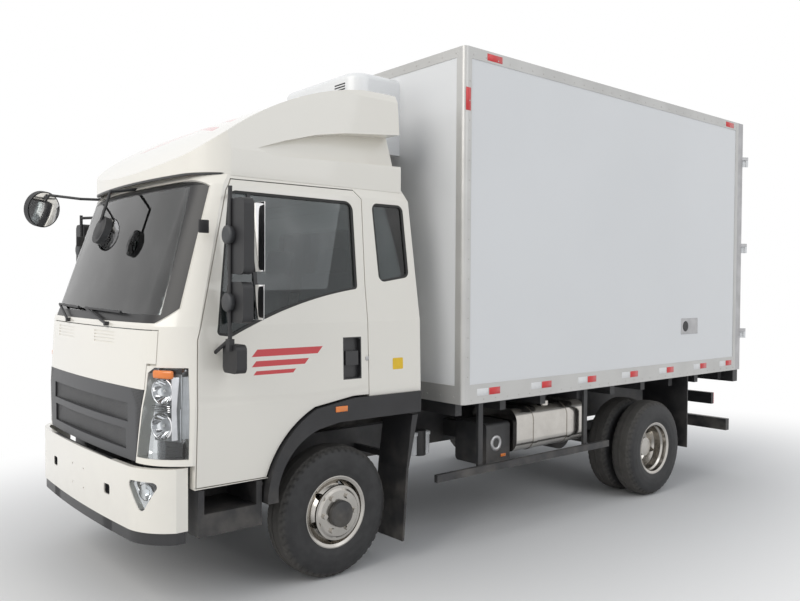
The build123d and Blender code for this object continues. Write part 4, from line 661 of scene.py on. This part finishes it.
def turned_round(name, profile, centre, axis, finish, body, count=48, smooth=True):
    """A profile of (distance along the axis, radius) points turned about an axis through a centre."""
    axis = np.asarray(axis, float) / np.linalg.norm(axis)
    first = np.cross(axis, [0.0, 0.0, 1.0] if abs(axis[2]) < 0.9 else [1.0, 0.0, 0.0])
    first = first / np.linalg.norm(first)
    second = np.cross(axis, first)
    angle = np.linspace(0, 2 * math.pi, count, endpoint=False)[:, None, None]
    profile = np.asarray(profile, float)[None]
    ring = np.cos(angle) * first + np.sin(angle) * second
    points = np.asarray(centre, float) + profile[..., :1] * axis + profile[..., 1:] * ring
    return piece(name, at(points), grid_faces(count, profile.shape[1], wrap_rows=True), finish, body, smooth)


def rounded(corners, cut, steps=5):
    """A closed outline whose corners are softened: each is a parabola between two points at the cut distance."""
    corners = np.asarray(corners, float)
    cut = np.broadcast_to(np.asarray(cut, float), (len(corners),))[:, None, None]
    before = np.roll(corners, 1, 0) - corners
    after = np.roll(corners, -1, 0) - corners
    before = (before / np.linalg.norm(before, axis=1, keepdims=True))[:, None]
    after = (after / np.linalg.norm(after, axis=1, keepdims=True))[:, None]
    share = np.linspace(0, 1, steps)[None, :, None]
    spots = corners[:, None] + before * cut * (1 - share) ** 2 + after * cut * share**2
    return spots.reshape(-1, corners.shape[1])


def skin_x(height):
    """Half the cab's width at a height, from the model's own rows of outlines."""
    return np.interp(height, [700, 1130, 1560, 2330, 2402, 2440], [975, 997, 985, 893, 862, 800])


def on_side(outline, depth, side=1):
    """Side-view points (y, z) laid on the cab's side, a given depth under its skin."""
    outline = np.asarray(outline, float)
    across = side * (skin_x(outline[:, 1]) - depth)
    return np.column_stack([across, outline[:, 0], outline[:, 1]])


print("forms ready")

# %% [markdown]
# The model's tyres are plain rings, so each is replaced by one with tread. Tread can be a displacement map, but it
# then misses in the outline, which is where a tyre's tread is seen best, so here it is real shape. The section is
# the model's own, sampled finely, and the tread is cut out of it: four grooves run round, and slanting cuts run in
# from each shoulder. The depth is the deeper of the two, and fades out below the shoulder.

# %% Tyres with tread
tyre_radius = axle_z * 1000
section_x = np.array([73, 87, 98.4, 103, 99.4, 90, 82, 68, 55, 0.0])
section_r = np.array([205, 221, 256, 301, 345, 368, 381, 391, 400, 403.0])
groove_places, groove_half = (18, 52), 3.2
tread_depth, tread_low_r, tread_fade = 9, 366, 14
cut_count, cut_lean, cut_start = 48, 0.05, 56
rib_rows, rib_height, rib_half = (330, 262), 1.2, 2.5
section_steps, turn_steps = 46, 288


def ridge(value, middle, half):
    """A smooth ridge of height 1 at the middle: e to the power of minus ((value - middle) / half) squared."""
    return np.exp(-(((value - middle) / half) ** 2))


def tread_tyre(name, centre_x, centre_y, body):
    """Section radius minus the tread depth, turned round the axle: grooves by distance across, cuts by angle."""
    steps = np.linspace(0, len(section_x) - 1, section_steps)
    half_x = np.interp(steps, np.arange(len(section_x)), section_x)
    half_r = np.interp(steps, np.arange(len(section_r)), section_r)
    across = np.concatenate([half_x, -half_x[::-1]])[None, :]
    radius = np.concatenate([half_r, half_r[::-1]])[None, :]
    angle = np.linspace(0, 2 * math.pi, turn_steps, endpoint=False)[:, None]
    off_middle = np.abs(across)
    grooves = sum(ridge(off_middle, place, groove_half) for place in groove_places)
    cuts = np.clip(np.sin(angle * cut_count + off_middle * cut_lean) * 3 - 1.2, 0, 1)
    cuts = cuts * np.clip((off_middle - cut_start) / 6, 0, 1)
    fade = np.clip((radius - tread_low_r) / tread_fade, 0, 1)
    reach = radius - tread_depth * np.maximum(np.clip(grooves, 0, 1), cuts) * fade
    ribs = sum(rib_height * ridge(radius, place, rib_half) for place in rib_rows)
    outward = np.sign(across) * np.minimum(ribs, section_x.max() - off_middle)
    points = np.stack([
        centre_x + across + outward + 0 * angle,
        centre_y + reach * np.cos(angle),
        tyre_radius + reach * np.sin(angle),
    ], -1)
    faces = grid_faces(points.shape[0], points.shape[1], wrap_rows=True)
    return piece(name, at(points), faces, "tyre", body)


wheelbase = (rear_axle_y - axle_y) * 1000
front_tyre_x, rear_outer_x, rear_inner_x = 835, 1005, 765
sides = (("left", 1), ("right", -1))
for side_name, side in sides:
    rear = (("rear_outer", rear_outer_x, wheelbase), ("rear_inner", rear_inner_x, wheelbase))
    for place_name, across, along in (("front", front_tyre_x, 0), *rear):
        body = f"wheel_{place_name.split('_')[0]}_{side_name}"
        made = tread_tyre(f"treaded_{place_name}_{side_name}", side * across, along, body)
        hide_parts(f"tyre_{place_name}_{side_name}")
print("6 treaded tyres, wheelbase", round(wheelbase), "mm")

# %% [markdown]
# A driven truck's front hub ends in a black grease cap in the middle of the bright disc. It is a turned part, so a
# short profile is turned about the axle. It could be a Screw modifier on an edge, but the same function also makes
# the lamps and the mirrors' caps.

# %% Hub caps
hub_profile = [(121, 79.5), (148, 79.5), (153, 74), (155, 48), (163, 41), (165, 0)]
for side_name, side in sides:
    hub = (side * front_tyre_x, 0, tyre_radius)
    turned_round(f"hub_cap_{side_name}", hub_profile, hub, (side, 0, 0), "chassis_black", f"wheel_front_{side_name}")
print("2 hub caps")

# %% [markdown]
# The windows are held by black rubber seals. Each seal is a flat profile carried round the window's outline on the
# cab's side, between the glass and the skin. The door window has a step at the front below the mirror and a bar
# behind it, which makes the fixed corner pane.

# %% Window seals
door_window = [(-722, 2301), (-838, 1513), (-745, 1500), (-620, 1561), (-420, 1636), (-276, 1680), (-80, 1724)]
door_window += [(125, 1761), (133, 2297)]
door_cuts = [50, 16, 18, 6, 6, 6, 6, 22, 50]
quarter_window = [(282, 2301), (540, 2301), (552, 1838), (300, 1800)]
seal_profile = [(0.6, -12), (0.6, -1.5), (15, -3), (15, -12)]
bar_profile = [(-11, -12), (-11, -4), (11, -4), (11, -12)]
for side_name, side in sides:
    outline = rounded(door_window, door_cuts)
    path = on_side(outline, 0, side)
    middle = path.mean(0)
    band(f"door_seal_{side_name}", path, (side, 0, 0.1), seal_profile, "rubber", f"door_{side_name}", inner=middle)
    path = on_side(rounded(quarter_window, 38), 0, side)
    band(f"quarter_seal_{side_name}", path, (side, 0, 0.1), seal_profile, "rubber", "cab", inner=path.mean(0))
    path = on_side([(-575, 1586), (-585, 1900), (-596, 2290)], 0, side)
    band(f"pane_bar_{side_name}", path, (side, 0, 0.1), bar_profile, "black_plastic", f"door_{side_name}", False)
print("window seals")

# %% [markdown]
# Behind each clear lamp cover lies a lamp: a dark bowl lined with chrome, two round reflectors with their bulbs, a
# ribbed bar between them and an amber block at the top. The reflectors are bowls whose depth grows with the square
# of the radius. The fog lamps have one smaller bowl each.

# %% Lamps


def bowl(radius, depth, count=9):
    """Profile of a reflector: depth times (1 - (r / radius) squared) behind its rim, from rim to middle."""
    reach = np.linspace(1, 0, count)
    return np.column_stack([-depth * (1 - reach**2), reach * radius])


for side_name, side in sides:
    look = (side * 0.42, -0.9, 0.0)
    for number, (across, along, height, radius) in enumerate(((872, -1096, 1040, 62), (872, -1092, 1222, 62))):
        name = f"reflector_{side_name}_{number}"
        turned_round(name, bowl(radius, 42), (side * across, along, height), look, "chrome", "cab")
        rim = [(0, radius), (5, radius + 3), (5, radius + 9), (-2, radius + 11)]
        turned_round(f"{name}_rim", rim, (side * across, along, height), look, "chrome", "cab")
        bulb = (side * (across - 7), along + 14, height)
        blocks(f"{name}_bulb", bulb, (17, 17, 17), 8.4, "lamp_white", "cab")
    swing = math.atan2(0.42, 0.9) * side
    turned = np.array([[math.cos(swing), -math.sin(swing), 0], [math.sin(swing), math.cos(swing), 0], [0, 0, 1]])
    bars = np.array([(side * 872, -1097, height) for height in np.linspace(1118, 1146, 4)])
    blocks(f"lamp_bar_{side_name}", bars, (120, 12, 5), 2.4, "chrome", "cab", turned=turned)
    blocks(f"turn_lamp_{side_name}", (side * 892, -1096, 1312), (130, 26, 44), 11, "amber", "cab", turned=turned)
    backs = [(side * 872, -1060, 1045), (side * 872, -1056, 1225)]
    blocks(f"lamp_back_{side_name}", backs, (176, 8, 176), 4, "lamp_silver", "cab", turned=turned)
    blocks(f"lamp_cheek_{side_name}", (side * 945, -1032, 1135), (6, 84, 330), 2.8, "lamp_silver", "cab")
    fog = (side * 806, -1156, 690)
    turned_round(f"fog_bowl_{side_name}", bowl(46, 26), fog, (side * 0.45, -0.9, 0), "chrome", "chassis")
print("lamps")

# %% [markdown]
# The small outside parts follow: lamps on the roof's edge and over the wheel arches, the knobs that clamp the
# mirror heads, their glass, the locks, and two plain yellow labels behind the doors. A label is one flat
# face a little outside the skin.

# %% Small outside parts
knob_cap = [(-16, 42), (8, 50), (16, 46), (20, 32), (21, 0)]
for side_name, side in sides:
    door = f"door_{side_name}"
    blocks(f"arch_lamp_{side_name}", (side * 1014, -30, 1046), (10, 88, 34), 4.5, "amber", "cab")
    for number, height in enumerate((2038, 1690)):
        knob = (side * 1130, -846, height)
        turned_round(f"mirror_knob_{side_name}_{number}", knob_cap, knob, (0, -1, 0), "grey_plastic", door, 32)
        clamp = (side * 1128, -838, height)
        blocks(f"mirror_clamp_{side_name}_{number}", clamp, (44, 26, 44), 8, "grey_plastic", door)
    glass_y = (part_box(f"mirrors_{side_name}")[1].y - axle_y) * 1000
    heads = np.array([(side * 1170, glass_y, 2030), (side * 1165, glass_y, 1690)])
    blocks(f"mirror_glass_{side_name}", heads, [(151, 3, 362), (146, 3, 184)], 1.4, "chrome", door)
    blocks(f"door_lock_{side_name}", (side * 992.5, 178, 1336), (9, 26, 26), 4, "dark_steel", door)
    blocks(f"hinge_cap_{side_name}", (side * 955, -898, 2088), (12, 60, 70), 5, "black_plastic", door)
    label = on_side(rounded([(384, 1254), (470, 1254), (470, 1326), (384, 1326)], 8), -0.6, side)[::side]
    piece(f"blank_label_{side_name}", at(label), [list(range(len(label)))], "yellow_label", "cab", False)
round_mirrors = (
    ("far", (-960, -1145, 2300), (1, 0.35, -0.2), 125, 78),
    ("near", (60, -1090, 2095), (0, 1, -0.35), 85, 50),
)
for mirror_name, centre, facing, radius, depth in round_mirrors:
    back = np.linspace(0, 1, 9)[::-1, None]
    dome = np.hstack([-depth * (1 - back**4) ** 0.5 - 2, radius * back * 0.99])
    turned_round(f"mirror_dome_{mirror_name}", dome, centre, facing, "black_plastic", "cab")
    face = np.hstack([2 + 12 * (1 - back**2), radius * back * 0.94])
    turned_round(f"mirror_face_{mirror_name}", face, centre, facing, "chrome", "cab")
roof_lamps = [(-640, -826, 2431), (640, -826, 2431)]
blocks("roof_lamps", roof_lamps, (86, 40, 34), 16, "amber", "cab", 4)
print("small outside parts")

# %% [markdown]
# Strips of reflecting tape mark the load box: red and white by turns along the lower rails, and short red corners
# at the top. Each strip is a thin block. The rails carry rows of rivets, which are all made in one array.

# %% Tape and rivets
red_along = np.array([1189, 1750, 2301, 2880, 3435, 4001, 4472.0])
for side_name, side in sides:
    skin = side * 1125.4
    reds = np.column_stack([np.full(7, skin), red_along, np.full(7, 1070.0)])
    blocks(f"tape_low_red_{side_name}", reds, (1.6, 110, 48), 0.7, "tape_red", "chassis", 2)
    whites = reds - [0, 120, 0]
    blocks(f"tape_low_white_{side_name}", whites, (1.6, 110, 48), 0.7, "tape_white", "chassis", 2)
    tops = [(skin, 1165, 3316), (skin, 4430, 3316)]
    blocks(f"tape_top_{side_name}", tops, (1.6, 150, 46), 0.7, "tape_red", "chassis", 2)
    uprights = [(skin, 912, 3010)]
    blocks(f"tape_upright_{side_name}", uprights, (1.6, 46, 150), 0.7, "tape_red", "chassis", 2)
    along = np.arange(960, 4580, 120.0)
    low = np.column_stack([np.full(len(along), skin), along, np.full(len(along), 1022.0)])
    high = low + [0, 0, 2284]
    heights = np.arange(1180, 3260, 130.0)
    post = np.column_stack([np.full(len(heights), skin), np.full(len(heights), 925.0), heights])
    rivets = np.concatenate([low, high, post])
    blocks(f"rivets_{side_name}", rivets, (4, 10, 10), 1.9, "trim_aluminium", "chassis", 2)
across = np.linspace(-1040, 1040, 17)
face = np.full(17, 879.4)
front_rivets = np.concatenate([
    np.column_stack([across, face, np.full(17, 1040.0)]),
    np.column_stack([across, face, np.full(17, 3318.0)]),
])
blocks("rivets_front", front_rivets, (10, 4, 10), 1.9, "trim_aluminium", "chassis", 2)
blocks("side_plate_left", (1122, 3750, 1440), (6, 280, 140), 2.8, "dark_steel", "chassis")
cap = [(-2, 48), (2, 46), (3, 40), (3, 12), (1, 0)]
turned_round("side_plate_cap_left", cap, (1124, 3680, 1440), (1, 0, 0), "black_plastic", "chassis", 32)
print("tape and rivets")

# %% [markdown]
# The seats in the solid model are plain blocks, so stuffed cushions take their place: a seat, a back and headrests
# for each. A cushion is a rounded block whose faces swell outwards, by the product of two cosines over each face.

# %% Seats


def cushion(name, centre, size, tilt, swell=14.0):
    """A rounded block swollen by swell times the product of cosines across its width and length, tilted back."""
    made = blocks(name, (0, 0, 0), size, min(size) * 0.36, "fabric", "cab", 7)
    count = len(made.data.vertices)
    spots = np.empty(count * 3)
    made.data.vertices.foreach_get("co", spots)
    spots = (spots.reshape(-1, 3) - [0.0, axle_y, 0.0]) * 1000
    share = np.cos(np.clip(spots / np.asarray(size, float), -0.5, 0.5) * math.pi)
    spots[:, 2] += np.sign(spots[:, 2]) * swell * share[:, 0] * share[:, 1]
    groove = np.exp(-(((np.abs(spots[:, 0]) - size[0] * 0.33) / 12) ** 2))
    spots[:, 2] -= np.sign(spots[:, 2]) * 7 * groove * share[:, 1] ** 0.5
    lean = np.array([[1, 0, 0], [0, math.cos(tilt), -math.sin(tilt)], [0, math.sin(tilt), math.cos(tilt)]])
    made.data.vertices.foreach_set("co", at(spots @ lean.T + np.asarray(centre, float)).ravel())
    made.data.update()
    return made


pads = []
for seat_name, middle, width, rests in (("driver", 480, 500, (0,)), ("bench", -370, 760, (-190, 190))):
    pads.append(cushion(f"{seat_name}_seat", (middle, -70, 1186), (width - 8, 462, 150), math.radians(3)))
    pads.append(cushion(f"{seat_name}_back", (middle, 186, 1566), (width - 10, 610, 108), math.radians(77)))
    for number, offset in enumerate(rests):
        place = (middle + offset, 276, 1946)
        pads.append(cushion(f"{seat_name}_rest_{number}", place, (262, 168, 74), math.radians(77), 6.0))
    base = (middle, -70, 1067)
    pads.append(blocks(f"{seat_name}_base", base, (width - 90, 396, 78), 6, "black_plastic", "cab"))
for pad in pads:
    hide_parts("seats")
print(len(pads), "seat pieces")

# %% [markdown]
# The last pieces are around the load box's front and the chassis: vents in the cooling unit, filter bowls behind
# the front wheel, and the ring and reflector on the dark box.

# %% Unit and chassis details
# Painted shade: the vent slots are thin black blocks on the unit's faces, standing in for the dark insides of the
# vents.
slots = np.array([(side * 300, 474.6, height) for side in (1, -1) for height in np.linspace(3096, 3188, 6)])
blocks("unit_slot_shade", slots, (120, 5, 9), 2.2, "black_plastic", "chassis")
side_slots = np.array([(side * 470.5, along, 3060) for side in (1, -1) for along in np.linspace(640, 812, 10)])
blocks("unit_side_slot_shade", side_slots, (5, 9, 150), 2.2, "black_plastic", "chassis")
ring = [(0, 30), (7, 32), (9, 44), (7, 56), (0, 58)]
turned_round("box_ring", ring, (949.5, 1400, 655), (1, 0, 0), "dark_steel", "chassis")
blocks("box_reflector", (951, 1478, 560), (8, 52, 22), 3.5, "amber", "chassis")
filters = [(560, 940, 652), (560, 1060, 652)]
for number, place in enumerate(filters):
    can = [(-88, 0), (-90, 30), (-84, 37), (50, 38), (52, 44), (74, 44), (78, 34), (80, 0)]
    turned_round(f"filter_can_{number}", can, place, (0, 0, 1), "unit_plastic", "chassis", 32)
print("unit and chassis details")

# %% [markdown]
# The floor is a plain pale sheet that turns to white away from the truck, so that no edge shows behind it, and
# keeps the truck's shadow close by. The white is only seen by the camera, in mirrors and through glass: a light path
# mask keeps it from lighting the truck. The light is that of a bright overcast day, one wide lamp ahead of the nose,
# one weaker lamp on the left and an even sky.

# %% Floor, sky and lamps


def seen_rays(made):
    """1 for rays from the camera, from mirrors and through glass, and 0 for rays that carry light."""
    kinds = ("Camera", "Glossy", "Transmission")
    direct, mirrored, through = [made.add("ShaderNodeLightPath", output=f"Is {kind} Ray") for kind in kinds]
    return direct.larger(mirrored).larger(through)


def add_floor():
    """A wide sheet just at Z = 0, pale near the truck and white from a few metres out."""
    half = 60.0
    corners = np.array([[-half, -half, 0], [half, -half, 0], [half, half, 0], [-half, half, 0]])
    mesh = bpy.data.meshes.new("floor")
    mesh.from_pydata(corners.tolist(), [], [(0, 1, 2, 3)])
    floor = bpy.data.objects.new("floor", mesh)
    made = new_finish("floor")
    across, along = made.axes(made.place())[:2]
    reach = (across * across + (along * 0.6) * (along * 0.6)).root()
    pale = made.add("ShaderNodeBsdfDiffuse", None, {"Color": (0.80, 0.80, 0.80, 1)})
    white = made.add("ShaderNodeEmission", None, {"Color": (1, 1, 1, 1), "Strength": 1.0})
    factor = reach.step(1.6, 4.2) * seen_rays(made)
    mesh.materials.append(made.close(made.add("ShaderNodeMixShader", None, {0: factor, 1: pale, 2: white})))
    bpy.context.scene.collection.objects.link(floor)


def add_sky(level):
    """An even sky: white where it is seen, and a given plain level where it lights the truck."""
    made = Finish(bpy.data.worlds.new("sky"))
    lit = made.add("ShaderNodeBackground", None, {"Color": (0.93, 0.96, 1.0), "Strength": level})
    seen = made.add("ShaderNodeBackground", None, {"Color": (1, 1, 1), "Strength": 1.0})
    mixed = made.add("ShaderNodeMixShader", None, {0: seen_rays(made), 1: lit, 2: seen})
    bpy.context.scene.world = made.close(mixed, "ShaderNodeOutputWorld")


def add_lamp(name, place, target, size, power, colour):
    """A square area lamp that looks from its place at its target."""
    lamp = bpy.data.lights.new(name, "AREA")
    lamp.size = size
    lamp.energy = power
    lamp.color = colour
    holder = bpy.data.objects.new(name, lamp)
    back = np.array(place, float) - np.array(target, float)
    back /= np.linalg.norm(back)
    right = np.cross([0.0, 0.0, 1.0], back)
    right /= np.linalg.norm(right)
    turned = np.eye(4)
    turned[:3, :3] = np.array([right, np.cross(back, right), back]).T
    turned[:3, 3] = place
    holder.matrix_world = Matrix(turned)
    bpy.context.scene.collection.objects.link(holder)


add_floor()
add_sky(0.55)
add_lamp("front_lamp", (1.5, -11.0, 8.0), (0, 0, 1.4), 8.0, 620.0, (1.0, 0.97, 0.92))
add_lamp("side_lamp", (9.0, 1.5, 7.0), (0, 0.5, 1.2), 7.0, 150.0, (0.96, 0.98, 1.0))
print("floor, sky and two lamps")
